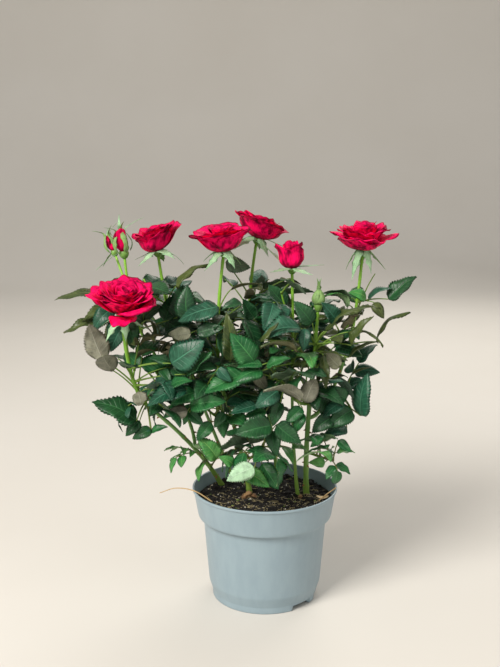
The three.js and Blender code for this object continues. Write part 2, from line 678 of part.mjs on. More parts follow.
// A flower on the end of a stem. Its calyx, cups and core are one body lofted from ring to ring,
// up the outside of each cup and down its inside, and its sepals are fused on.
function flowerSolids(base, flower) {
  const axis = vector(flower.axis).normalize();
  const { side, rise } = crossDirections(axis, new THREE.Vector3(0, 1, 0));
  const sides = 3 * flower.petals;
  const [calyxRadius, calyxHeight] = flower.calyx;
  const [coreRadius, coreHeight] = flower.core;
  const place = (turn, radius, height) => {
    const angle = -2 * Math.PI * turn;
    const across = along(along(base, side, flower.size * radius * Math.cos(angle)),
      rise, flower.size * radius * Math.sin(angle));
    return along(across, axis, flower.size * height);
  };
  const round = (radius, height) => (
    Array.from({ length: sides }, (_, k) => place(k / sides, radius, height)));
  const wall = (cup, share, inside) => Array.from({ length: sides }, (_, k) => {
    const { radius, height } = cupPoint(cup, share, k, inside);
    return place(k / sides, radius, calyxHeight + calyxNeck[1] + height);
  });
  const rings = [
    round(...calyxNeck), round(calyxRadius, calyxHeight / 2), round(calyxRadius * calyxTop, calyxHeight),
  ];
  for (const cup of flower.cups) {
    rings.push(wall(cup, cupShares[0], 0), wall(cup, cupShares[1], 0), wall(cup, cupShares[2], 1));
  }
  for (const [width, share] of coreRings) {
    rings.push(round(coreRadius * width, lerp(calyxHeight, coreHeight, share)));
  }
  rings.push([place(0, 0, coreHeight)]);
  const solids = [loft(rings)];
  const { length, width, pitch } = flower.sepals;
  for (let k = 0; k < sepalCount; k += 1) {
    const turn = (k + 0.3) / sepalCount;
    const out = place(turn, 1, 0).sub(base).normalize();
    const heading = out.clone().multiplyScalar(Math.cos(radians(pitch)));
    heading.addScaledVector(axis, Math.sin(radians(pitch))).normalize();
    const root = place(turn, calyxRadius * sepalSeat, calyxHeight * sepalSeat);
    const inner = pitch > sepalUprightDegrees ? out : axis;
    const sepal = leafletFrame(root, heading, inner, length * flower.size);
    sepal.width = width * flower.size;
    solids.push(sepalSolid(sepal));
  }
  return solids;
}

// Leaves keep out of the balls that a flower and the sepals below it fill.
function markFlower(base, flower) {
  const axis = vector(flower.axis).normalize();
  const widest = Math.max(flower.core[0], ...flower.cups.map((cup) => cup.reach)) * flower.size;
  const middle = along(base, axis, flower.core[1] * flower.size * flowerBall.place);
  spots.push({ centre: middle, radius: widest * flowerBall.share, owner: 'flower' });
  spots.push({ centre: along(base, axis, -sepalBall.below), radius: sepalBall.radius, owner: 'flower' });
}

function joined(solids) {
  return solids.reduce((whole, solid) => whole.add(solid));
}

function meshOf(name, solid, finish) {
  const { vertProperties, triVerts } = solid.getMesh();
  const geometry = new THREE.BufferGeometry();
  geometry.setAttribute('position', new THREE.BufferAttribute(vertProperties, 3));
  geometry.setIndex(new THREE.BufferAttribute(triVerts, 1));
  const mesh = new THREE.Mesh(geometry, new THREE.MeshStandardMaterial(finish));
  mesh.name = name;
  return mesh;
}

// The pot's wall is one closed outline turned round the axis.
function potSolid() {
  const outline = [
    [0, 0], [footRadius, 0], [footRadius, footHeight], [bodyFootRadius, bodyFootHeight],
    [bodyTopRadius, bodyTopHeight], [collarFootRadius, collarFootHeight], [rimRadius, potHeight],
    [rimRadius - potWall, potHeight], [collarFootRadius - potWall, collarFootHeight],
    [bodyTopRadius - potWall, bodyTopHeight], [bodyFootRadius - potWall, bodyFootHeight],
    [footRadius - potWall, footHeight], [footRadius - potWall, potFloor], [0, potFloor],
  ];
  const shell = new THREE.LatheGeometry(outline.map(([r, z]) => new THREE.Vector2(r, z)), potSides);
  shell.rotateX(Math.PI / 2);
  return notchCentresDegrees.reduce((pot, centre) => pot.subtract(notchSolid(centre)), solidOf(shell));
}

// A notch is a block of a ring that cuts through the foot of the wall and the floor's edge.
function notchSolid(centreDegrees) {
  const [low, high] = [-1, 1].map((hand) => radians(centreDegrees + hand * notchWidthDegrees / 2));
  const outline = new THREE.Shape();
  outline.absarc(0, 0, rimRadius, low, high, false);
  outline.absarc(0, 0, footRadius - 3 * potWall, high, low, true);
  const block = new THREE.ExtrudeGeometry(outline, {
    depth: notchHeight + notchBelow, bevelEnabled: false, curveSegments: 4,
  });
  block.translate(0, 0, -notchBelow);
  return solidOf(block);
}

function soilSolid() {
  const wallRadius = THREE.MathUtils.mapLinear(
    soilTop, collarFootHeight, potHeight, collarFootRadius, rimRadius) - potWall - gap;
  const inner = (radius) => radius - potWall - gap;
  const outline = [
    [0, potFloor + gap], [inner(footRadius), potFloor + gap], [inner(footRadius), footHeight + gap / 2],
    [inner(bodyFootRadius), bodyFootHeight + gap / 2], [inner(bodyTopRadius), bodyTopHeight + gap],
    [inner(collarFootRadius), collarFootHeight + gap], [wallRadius, soilTop],
    ...soilRings.map((radius) => [radius, soilTop]), [0, soilTop],
  ];
  const plug = new THREE.LatheGeometry(outline.map(([r, z]) => new THREE.Vector2(r, z)), potSides);
  plug.rotateX(Math.PI / 2);
  const place = plug.getAttribute('position');
  for (let i = 0; i < place.count; i += 1) {
    const [x, y, z] = [place.getX(i), place.getY(i), place.getZ(i)];
    if (z > soilTop - 1 && Math.hypot(x, y) < wallRadius - 1) place.setZ(i, z + soilRise(x, y));
  }
  const standing = limbs.filter((limb) => limb.flare);
  return standing.reduce((soil, limb) => soil.subtract(tubeOf(limb, limbSides, gap)), solidOf(plug));
}

function massSolid(mass) {
  const solids = [tubeOf(mass, stemSides), ...mass.solids];
  if (mass.flower) solids.push(...flowerSolids(vector(mass.tip), mass.flower));
  if (mass.side) {
    const root = pointOn(mass, mass.side.from).point;
    const tip = vector(mass.side.tip);
    const twig = { radii: [mass.radii[1], mass.radii[1]] };
    follow(twig, root, root.clone().add(tip).multiplyScalar(0.5), tip, leastSteps, stemStep);
    solids.push(tubeOf(twig, stemSides), ...flowerSolids(tip, mass.side.flower));
  }
  return joined(solids);
}

for (const limb of limbs) markLimb(limb, limb.name);
for (const mass of masses) {
  mass.solids = [];
  mass.random = seeded(mass.seed);
  markLimb(mass, mass.name);
  if (mass.flower) markFlower(vector(mass.tip), mass.flower);
  if (mass.side) markFlower(vector(mass.side.tip), mass.side.flower);
}
for (const mass of masses) {
  for (const spray of mass.sprays) mass.solids.push(...growSpray(mass, spray, true));
}
for (const mass of masses) {
  for (let order = 0; order < mass.grown; order += 1) {
    mass.solids.push(...growSpray(mass, grownSpray(mass, order), false));
  }
}

const plant = new THREE.Group();
plant.add(meshOf('pot', potSolid(), finishes.pot));
plant.add(meshOf('soil', soilSolid(), finishes.soil));
for (const limb of limbs) plant.add(meshOf(limb.name, tubeOf(limb, limbSides), finishes.wood));
for (const mass of masses) {
  plant.add(meshOf(mass.name, massSolid(mass), finishes.leaf));
}

export default plant;
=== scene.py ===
import json
import math
import bpy
import numpy as np
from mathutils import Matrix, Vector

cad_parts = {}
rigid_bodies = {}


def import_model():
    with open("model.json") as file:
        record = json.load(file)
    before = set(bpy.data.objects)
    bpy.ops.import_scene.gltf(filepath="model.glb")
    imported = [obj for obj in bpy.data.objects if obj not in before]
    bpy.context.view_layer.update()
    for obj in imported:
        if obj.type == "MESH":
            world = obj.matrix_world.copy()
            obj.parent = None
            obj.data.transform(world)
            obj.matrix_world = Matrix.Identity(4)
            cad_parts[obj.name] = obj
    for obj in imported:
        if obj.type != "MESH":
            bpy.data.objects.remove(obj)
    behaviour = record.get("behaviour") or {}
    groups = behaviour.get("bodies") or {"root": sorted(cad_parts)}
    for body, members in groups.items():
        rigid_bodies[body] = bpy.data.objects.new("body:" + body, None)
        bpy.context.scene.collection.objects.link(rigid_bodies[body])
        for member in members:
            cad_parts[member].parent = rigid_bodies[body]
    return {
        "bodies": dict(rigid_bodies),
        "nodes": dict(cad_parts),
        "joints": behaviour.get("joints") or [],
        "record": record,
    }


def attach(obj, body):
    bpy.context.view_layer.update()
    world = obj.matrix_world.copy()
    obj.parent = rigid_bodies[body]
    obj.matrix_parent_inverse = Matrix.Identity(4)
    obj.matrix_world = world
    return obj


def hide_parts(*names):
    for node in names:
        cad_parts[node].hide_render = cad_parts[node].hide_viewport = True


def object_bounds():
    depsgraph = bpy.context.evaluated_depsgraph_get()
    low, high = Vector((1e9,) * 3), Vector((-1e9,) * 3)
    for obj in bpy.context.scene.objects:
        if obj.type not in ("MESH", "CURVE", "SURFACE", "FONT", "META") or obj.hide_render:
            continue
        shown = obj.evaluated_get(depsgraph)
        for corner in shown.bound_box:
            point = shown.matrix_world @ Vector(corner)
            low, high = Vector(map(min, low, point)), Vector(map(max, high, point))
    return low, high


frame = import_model()
millimetre = 0.001  # sizes below are in millimetres and turn to metres when a mesh is written
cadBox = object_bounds()
solidsBox = np.array([list(corner) for corner in cadBox]) / millimetre
tau = 2 * math.pi
goldenAngle = 137.5  # degrees between one leaf or petal and the next
xAxis, yAxis, zAxis = np.eye(3)


# Small helpers for colours, shader nodes and meshes

def linear(hexColour):
    # sRGB hex to linear: c/12.92 near black, ((c + 0.055)/1.055)^2.4 above
    channel = np.array([int(hexColour[i:i + 2], 16) for i in (1, 3, 5)]) / 255
    bright = np.where(channel <= 0.04045, channel / 12.92, ((channel + 0.055) / 1.055) ** 2.4)
    return (*(float(value) for value in bright), 1.0)


def addNode(tree, kind, settings, inputs):
    # adds one shader node; an input is a value, or another node's socket to link from
    node = tree.nodes.new("ShaderNode" + kind)
    for name, value in settings.items():
        setattr(node, name, value)
    for key, value in inputs.items():
        if isinstance(value, bpy.types.NodeSocket):
            tree.links.new(value, node.inputs[key])
        else:
            node.inputs[key].default_value = value
    return node


def mathOf(tree, operation, *values):
    return addNode(tree, "Math", {"operation": operation}, dict(enumerate(values))).outputs[0]


def shareOf(tree, share, value):
    return mathOf(tree, "MULTIPLY", value, share)


def rangeOf(tree, value, low, high, most=1.0):
    # 0 at low and most at high, with soft ends
    inputs = {"Value": value, "From Min": low, "From Max": high, "To Min": 0.0, "To Max": most}
    return addNode(tree, "MapRange", {"interpolation_type": "SMOOTHSTEP"}, inputs).outputs[0]


def mixOf(tree, share, first, second):
    return addNode(tree, "Mix", {"data_type": "RGBA"}, {0: share, 6: first, 7: second}).outputs[2]


def newMaterial(name, settings):
    # settings are values of the shader's own sockets
    material = bpy.data.materials.new(name)
    material.use_nodes = True
    shader = material.node_tree.nodes["Principled BSDF"]
    for key, value in settings.items():
        shader.inputs[key].default_value = value
    return material, material.node_tree, shader


def bumpOf(tree, shader, height, distance, strength=1.0):
    inputs = {"Height": height, "Distance": distance * millimetre, "Strength": strength}
    bump = addNode(tree, "Bump", {}, inputs)
    tree.links.new(bump.outputs[0], shader.inputs["Normal"])


def noiseOf(tree, grain, detail=4.0, roughness=0.55, stretch=(1, 1, 1)):
    # noise whose lumps are grain millimetres wide, on object coordinates
    place = addNode(tree, "TexCoord", {}, {}).outputs["Object"]
    scale = tuple(part / (grain * millimetre) for part in stretch)
    placed = addNode(tree, "Mapping", {}, {"Vector": place, "Scale": scale}).outputs[0]
    inputs = {"Vector": placed, "Scale": 1.0, "Detail": detail, "Roughness": roughness}
    return addNode(tree, "TexNoise", {}, inputs).outputs[0]


def surfaceOf(tree):
    # the sheet's own coordinates: across, and along from root to tip
    return addNode(tree, "UVMap", {"uv_map": "surface"}, {}).outputs[0]


def mottledMaterial(name, roughness, grain, first, second, detail=3.0):
    # two colours that run into each other in patches of grain millimetres
    material, tree, shader = newMaterial(name, {"Roughness": roughness})
    mottle = mixOf(tree, noiseOf(tree, grain, detail), linear(first), linear(second))
    tree.links.new(mottle, shader.inputs["Base Color"])
    return material


def normalised(vectors):
    return vectors / np.maximum(np.linalg.norm(vectors, axis=-1, keepdims=True), 1e-9)


def makePiece(name, parts, materials, nodes):
    # one mesh object from parts, each {"points", "quads", "tris", "uv", "material"}, that stands
    # for the CAD nodes named
    points, loops, starts, counts, uvs, kinds = [], [], [], [], [], []
    pointCount = 0
    loopCount = 0
    for part in parts:
        place = part["points"].reshape(-1, 3)
        uv = part.get("uv", np.zeros((len(place), 2))).reshape(-1, 2)
        kindOf = part.get("material", 0)
        for key, corners in (("quads", 4), ("tris", 3)):
            faces = part.get(key)
            if faces is None:
                continue
            loops.append(faces.ravel() + pointCount)
            uvs.append(uv[faces.ravel()])
            starts.append(loopCount + corners * np.arange(len(faces)))
            counts.append(np.full(len(faces), corners))
            kinds.append(np.broadcast_to(kindOf, len(faces)))
            loopCount += corners * len(faces)
        points.append(place)
        pointCount += len(place)
    mesh = bpy.data.meshes.new(name)
    mesh.vertices.add(pointCount)
    mesh.vertices.foreach_set("co", (np.concatenate(points) * millimetre).astype(np.float32).ravel())
    mesh.loops.add(loopCount)
    mesh.loops.foreach_set("vertex_index", np.concatenate(loops).astype(np.int32))
    starts = np.concatenate(starts).astype(np.int32)
    mesh.polygons.add(len(starts))
    mesh.polygons.foreach_set("loop_start", starts)
    mesh.polygons.foreach_set("loop_total", np.concatenate(counts).astype(np.int32))
    mesh.polygons.foreach_set("material_index", np.concatenate(kinds).astype(np.int32))
    mesh.polygons.foreach_set("use_smooth", np.ones(len(starts), bool))
    layer = mesh.uv_layers.new(name="surface")
    layer.data.foreach_set("uv", np.concatenate(uvs).astype(np.float32).ravel())
    mesh.update(calc_edges=True)
    for material in materials:
        mesh.materials.append(material)
    piece = bpy.data.objects.new(name, mesh)
    bpy.context.scene.collection.objects.link(piece)
    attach(piece, "root")
    if nodes:
        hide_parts(*nodes)


def sheets(points, thickness, topKind=0, underKind=0):
    # N thin closed sheets from N grids of points, rows along and columns across. The rim stays
    # on the grid; inside it the faces stand half a thickness off along the grid's normal, which
    # is (step across) x (step along).
    count, rows, columns, _ = points.shape
    normals = normalised(np.cross(np.gradient(points, axis=2), np.gradient(points, axis=1)))
    lift = normals[:, 1:-1, 1:-1] * thickness / 2
    top = points.copy()
    top[:, 1:-1, 1:-1] += lift
    under = points[:, 1:-1, 1:-1] - lift
    upper = np.arange(rows * columns).reshape(rows, columns)
    lower = upper.copy()
    lower[1:-1, 1:-1] = rows * columns + np.arange((rows - 2) * (columns - 2)).reshape(rows - 2, -1)
    each = rows * columns + (rows - 2) * (columns - 2)
    quads = np.concatenate([quadsOf(upper), quadsOf(lower)[:, ::-1]])
    half = len(quads) // 2
    allQuads = (quads[None] + each * np.arange(count)[:, None, None]).reshape(-1, 4)
    along, across = np.meshgrid(np.linspace(0, 1, rows), np.linspace(0, 1, columns), indexing="ij")
    flat = np.stack([across, along], -1)
    uv = np.concatenate([flat.reshape(-1, 2), flat[1:-1, 1:-1].reshape(-1, 2)])
    kinds = np.concatenate([np.repeat(np.broadcast_to(topKind, count)[:, None], half, 1),
                            np.repeat(np.broadcast_to(underKind, count)[:, None], half, 1)], 1)
    place = np.concatenate([top.reshape(count, -1, 3), under.reshape(count, -1, 3)], 1)
    return {"points": place, "quads": allQuads, "uv": np.tile(uv, (count, 1)), "material": kinds.ravel()}


def quadsOf(index):
    # the quads of a grid of point numbers, facing (step across) x (step along)
    return np.stack([index[:-1, :-1], index[:-1, 1:], index[1:, 1:], index[1:, :-1]], -1).reshape(-1, 4)


def tubes(paths, radii, sides, upward=yAxis):
    # N round tubes, a ring of sides points carried along each path: the ring at a point is
    # centre + radius (side cos a + rise sin a), side = heading x upward, rise = side x heading.
    # A radius is given for each ring, or for each of its points.
    count, rows, _ = paths.shape
    heading = normalised(np.gradient(paths, axis=1))
    upward = np.broadcast_to(np.asarray(upward, float).reshape(-1, 1, 3), heading.shape)
    side = normalised(np.cross(heading, upward))
    rise = np.cross(side, heading)
    angle = tau * np.arange(sides) / sides
    radii = np.broadcast_to(radii, (count, rows)) if np.ndim(radii) < 3 else radii
    width = radii[..., None] if np.ndim(radii) == 2 else radii
    ring = (paths[:, :, None] + width[..., None] * (side[:, :, None] * np.cos(angle)[:, None]
                                                    + rise[:, :, None] * np.sin(angle)[:, None]))
    index = np.arange(rows * sides).reshape(rows, sides)
    index = np.concatenate([index, index[:, :1]], 1)
    quads = quadsOf(index)[:, ::-1]
    first, last = rows * sides, rows * sides + 1  # the middles of both ends
    tris = np.concatenate([np.stack([index[0, :-1], index[0, 1:], np.full(sides, first)], -1),
                           np.stack([np.full(sides, last), index[-1, 1:], index[-1, :-1]], -1)])
    each = rows * sides + 2
    step = each * np.arange(count)[:, None, None]
    place = np.concatenate([ring.reshape(count, -1, 3), paths[:, :1], paths[:, -1:]], 1)
    return {"points": place, "quads": (quads[None] + step).reshape(-1, 4),
            "tris": (tris[None] + step).reshape(-1, 3)}


def closedRings(rings, low, high):
    # rings of points round Z, from below outwards and up, closed by a fan to the axis at the
    # heights low and high
    rows, sides, _ = rings.shape
    index = np.arange(rows * sides).reshape(rows, sides)
    index = np.concatenate([index, index[:, :1]], 1)
    first, last = rows * sides, rows * sides + 1
    tris = np.concatenate([np.stack([index[0, 1:], index[0, :-1], np.full(sides, first)], -1),
                           np.stack([index[-1, :-1], index[-1, 1:], np.full(sides, last)], -1)])
    ends = np.array([[0, 0, low], [0, 0, high]])
    return {"points": np.concatenate([rings.reshape(-1, 3), ends]), "quads": quadsOf(index), "tris": tris}


def lathe(profile, sides):
    # a profile of (radius, height) turned round Z, its two ends on the axis
    radius, height = profile[1:-1, :1], profile[1:-1, 1:]
    angle = tau * np.arange(sides) / sides
    rings = np.stack([radius * np.cos(angle), radius * np.sin(angle), height + 0 * angle], -1)
    return closedRings(rings, profile[0, 1], profile[-1, 1])


def roundedProfile(corners):
    # each (radius, height, fillet) corner is cut by a quadratic curve that starts and ends a
    # fillet away from it along its two sides
    corners = np.array(corners, float)
    rows = [corners[0, :2]]
    for before, corner, after in zip(corners[:-2], corners[1:-1], corners[2:]):
        place = corner[:2]
        start = place + (before[:2] - place) * min(0.48, corner[2] / np.linalg.norm(before[:2] - place))
        end = place + (after[:2] - place) * min(0.48, corner[2] / np.linalg.norm(after[:2] - place))
        for t in np.linspace(0, 1, 6):
            rows.append((1 - t) ** 2 * start + 2 * t * (1 - t) * place + t * t * end)
    rows.append(corners[-1, :2])
    return np.array(rows)


# Camera, light and floor

view = {
    "place": (-12.3, -752.0, 369.0),  # worked out from the rim's and the foot's ellipses
    "pitchDown": 11.03,  # degrees
    "focal": 950.0,  # in pixels of the 500 x 667 image
    "imageHeight": 667,
    "sensor": 36.0,
}


def makeCamera(view):
    data = bpy.data.cameras.new("camera")
    data.sensor_width = view["sensor"]
    data.lens = view["focal"] * view["sensor"] / view["imageHeight"]
    data.clip_end = 20
    camera = bpy.data.objects.new("camera", data)
    camera.location = [value * millimetre for value in view["place"]]
    camera.rotation_euler = (math.radians(90 - view["pitchDown"]), 0, 0)
    bpy.context.scene.collection.objects.link(camera)
    bpy.context.scene.camera = camera


studio = {
    "lamps": [  # square soft boxes: place and target in metres, width in metres, watts, colour
        ("keyLamp", (-0.95, -1.15, 1.35), (0, 0, 0.16), 0.8, 45, "#fffaf2"),
        ("fillLamp", (1.3, -0.9, 0.7), (0, 0, 0.15), 1.4, 4, "#fffdf8"),
        ("backLamp", (0.5, 1.2, 1.1), (0, 0, 0.2), 1.0, 11, "#fffaf2"),
    ],
    "room": "#f6f3ee",
    "roomStrength": 0.43,
}


def addLamp(name, place, target, size, power, colour):
    data = bpy.data.lights.new(name, "AREA")
    data.size = size
    data.energy = power
    data.color = linear(colour)[:3]
    lamp = bpy.data.objects.new(name, data)
    lamp.location = place
    lamp.visible_camera = False
    x, y, z = np.array(place) - np.array(target)
    lamp.rotation_euler = (math.atan2(math.hypot(x, y), z), 0, math.atan2(y, x) + math.pi / 2)
    bpy.context.scene.collection.objects.link(lamp)


def lightRoom(colour, strength):
    world = bpy.data.worlds.new("paleRoom")
    world.use_nodes = True
    background = world.node_tree.nodes["Background"]
    background.inputs["Color"].default_value = linear(colour)
    background.inputs["Strength"].default_value = strength
    bpy.context.scene.world = world
    bpy.context.scene.view_settings.view_transform = "Standard"  # keeps the petals' full colour


makeCamera(view)
for lamp in studio["lamps"]:
    addLamp(*lamp)
lightRoom(studio["room"], studio["roomStrength"])


backdrop = {  # in metres
    "reach": 4.0,
    "back": 2.6,
    "bend": 0.9,
    "top": 2.6,
    "colours": ("#d8d5d0", "#d0ccc5"),
    "patch": 350,  # millimetres
}


def makeBackdrop(backdrop):
    # a pale painted board on the floor that sweeps up behind the plant in a quarter circle
    reach, back, bend = backdrop["reach"], backdrop["back"], backdrop["bend"]
    sweep = [(back - bend + bend * math.sin(a), bend - bend * math.cos(a))
             for a in np.linspace(0, math.pi / 2, 24)]
    line = [(-reach, 0.0), *sweep, (back, backdrop["top"])]
    points = [(side * reach, y, z) for y, z in line for side in (-1, 1)]
    faces = [(2 * i, 2 * i + 1, 2 * i + 3, 2 * i + 2) for i in range(len(line) - 1)]
    mesh = bpy.data.meshes.new("backdrop")
    mesh.from_pydata(points, [], faces)
    mesh.polygons.foreach_set("use_smooth", [True] * len(faces))
    mesh.materials.append(mottledMaterial("paintedBoard", 0.85, backdrop["patch"], *backdrop["colours"]))
    board = bpy.data.objects.new("backdrop", mesh)
    bpy.context.scene.collection.objects.link(board)


makeBackdrop(backdrop)
print("stage: camera, lamps and backdrop")


# The pot: grey polypropylene, injection moulded with a grained tool, so it is satin with soft
# highlights, a faintly mottled colour and fine flow marks that run up the wall

pot = {
    "profile": [  # radius, height, fillet
        (0, 1.2, 0), (38, 1.2, 1.0), (40.5, 0, 0.8), (43.7, 0, 1.0), (43.9, 5.5, 0.8), (46.6, 14, 1.4),
        (50.9, 66.5, 1.5), (51.7, 69.5, 0.6), (51.9, 71.4, 0.2), (55.0, 70.2, 0.5), (55.6, 71.8, 0.8),
        (58.9, 91.2, 0.5),
        (60.0, 92.0, 0.5), (60.1, 93.6, 0.5), (59.4, 94.0, 0.4), (58.4, 93.6, 0.5), (58.1, 91.0, 0.6),
        (54.5, 73.9, 0.6), (50.9, 73.2, 0.6), (49.8, 69.0, 1.0), (45.1, 14.0, 1.0), (42.0, 3.0, 1.0),
        (0, 3.0, 0),
    ],
    "sides": 192,
    "notchCentres": (-46, -9, 134, 171),  # degrees from +X
    "notchDegrees": 26,
    "notchFloor": 39.5,  # the radius that a notch is cut in to
    "notchBelow": 2.9,  # what lies lower is cut in, lifted by notchLift and kept under notchRoof
    "notchLift": 1.6,
    "notchRoof": 2.6,
    "colours": ("#90a3ac", "#8a9da7"),
    "mottle": 9,
    "toolGrain": 0.7,
    "flowMarks": 6,
}


def makePot(pot):
    material, tree, shader = newMaterial("mouldedPolypropylene", {"Roughness": 0.42, "IOR": 1.49})
    light, dark = (linear(colour) for colour in pot["colours"])
    mottle = rangeOf(tree, noiseOf(tree, pot["mottle"], 6.0, 0.6, (1, 1, 0.35)), 0.3, 0.7)
    tree.links.new(mixOf(tree, mottle, light, dark), shader.inputs["Base Color"])
    grain = noiseOf(tree, pot["toolGrain"], 3.0, 0.6)
    flow = noiseOf(tree, pot["flowMarks"], 2.0, 0.5, (1, 1, 0.12))
    relief = mathOf(tree, "MULTIPLY_ADD", flow, 0.6, shareOf(tree, 0.4, grain))
    bumpOf(tree, shader, relief, 0.12, 0.5)
    shell = lathe(roundedProfile(pot["profile"]), pot["sides"])
    place = shell["points"]
    radius = np.hypot(place[:, 0], place[:, 1])
    turn = np.degrees(np.arctan2(place[:, 1], place[:, 0]))
    foot = (radius > pot["notchFloor"]) & (place[:, 2] < pot["notchBelow"])
    for centre in pot["notchCentres"]:  # the foot's wall steps in behind each drain notch
        away = np.abs((turn - centre + 180) % 360 - 180)
        inside = foot & (away < pot["notchDegrees"] / 2)
        place[inside, :2] *= (pot["notchFloor"] / radius[inside])[:, None]
        place[inside, 2] = np.minimum(place[inside, 2] + pot["notchLift"], pot["notchRoof"])
    makePiece("potShell", [shell], [material], ["pot"])


makePot(pot)
print("stage: pot")


# The soil: moist peat, screened and pressed by hand, so it is nearly black, matt and crumbly,
# with pale root fibre, white perlite and a few green scraps in it

soil = {
    "top": 84.0,
    "depth": 8,
    "wallRadius": 56.3,
    "wallGap": 4,  # the peat falls off over this width before it meets the wall
    "wallDrop": 1.2,
    "crumbHeight": 1.3,
    "rings": 90,
    "sides": 240,
    "peat": ("#0b0a09", "#211b18"),
    "crumbs": {"count": 1700, "within": 54, "lift": 0.3, "sizes": (0.4, 3)},
    "fibres": {"count": 460, "within": 52, "lift": 1.1, "lengths": (1.3, 5), "radius": 0.19, "front": 0.6},
    "perlite": {"count": 110, "within": 53, "lift": 1.0, "sizes": (0.22, 0.8)},
    "greens": {"count": 22, "within": 50, "lift": 1.0, "sizes": (0.5, 1.3)},
    "seed": 4,
}


def soilRise(x, y):
    # the source's slow rise and fall of the peat
    return soil["crumbHeight"] * (np.sin(x / 6.1 + 1.3) * np.cos(y / 5.3) + 0.4 * np.sin((x + y) / 3.7))


def lumps(centres, sizes, random, flatten=0.75):
    # rough stones: an icosahedron's twelve corners, each pushed in or out, scaled and turned
    golden = (1 + math.sqrt(5)) / 2
    corner = normalised(np.array([(-1, golden, 0), (1, golden, 0), (-1, -golden, 0), (1, -golden, 0),
                                  (0, -1, golden), (0, 1, golden), (0, -1, -golden), (0, 1, -golden),
                                  (golden, 0, -1), (golden, 0, 1), (-golden, 0, -1), (-golden, 0, 1)]))
    tris = np.array([(0, 11, 5), (0, 5, 1), (0, 1, 7), (0, 7, 10), (0, 10, 11), (1, 5, 9), (5, 11, 4),
                     (11, 10, 2), (10, 7, 6), (7, 1, 8), (3, 9, 4), (3, 4, 2), (3, 2, 6), (3, 6, 8),
                     (3, 8, 9), (4, 9, 5), (2, 4, 11), (6, 2, 10), (8, 6, 7), (9, 8, 1)])
    count = len(centres)
    reach = random.uniform(0.72, 1.2, (count, 12, 1)) * sizes[:, None, None]
    stretch = random.uniform(0.7, 1.25, (count, 1, 3)) * [1, 1, flatten]
    turn = random.uniform(0, tau, count)
    place = corner[None] * reach * stretch
    x = place[..., 0] * np.cos(turn)[:, None] - place[..., 1] * np.sin(turn)[:, None]
    y = place[..., 0] * np.sin(turn)[:, None] + place[..., 1] * np.cos(turn)[:, None]
    place = np.stack([x, y, place[..., 2]], -1) + centres[:, None]
    return {"points": place, "tris": (tris[None] + 12 * np.arange(count)[:, None, None]).reshape(-1, 3)}


def onSoil(x, y, lift):
    return np.stack([x, y, soil["top"] + soilRise(x, y) + lift], -1)


def scattered(grains, random):
    # places spread evenly over the soil's disc, standing a lift above it
    radius = grains["within"] * np.sqrt(random.uniform(0, 1, grains["count"]))
    angle = random.uniform(0, tau, grains["count"])
    return onSoil(radius * np.cos(angle), radius * np.sin(angle), grains["lift"])


def bentStrips(middles, lengths, headings, radius, random, rows=6, sides=5):
    # thin fibres: a straight run bent sideways by a parabola and lifted a little at one end
    t = np.linspace(0, 1, rows)[None, :, None]
    count = len(middles)
    heading = np.stack([np.cos(headings), np.sin(headings), np.zeros(count)], -1)[:, None]
    across = np.stack([-np.sin(headings), np.cos(headings), np.zeros(count)], -1)[:, None]
    length = lengths[:, None, None]
    bow = random.uniform(-0.25, 0.25, (count, 1, 1)) * length
    rise = random.uniform(0.0, 0.22, (count, 1, 1)) * length
    path = middles[:, None] + heading * length * (t - 0.5) + across * bow * 4 * t * (1 - t)
    path[..., 2:] += rise * t * t
    taper = radius * (1 - 0.5 * np.abs(2 * t[..., 0] - 1))
    return tubes(path, np.broadcast_to(taper, (count, rows)), sides, zAxis)


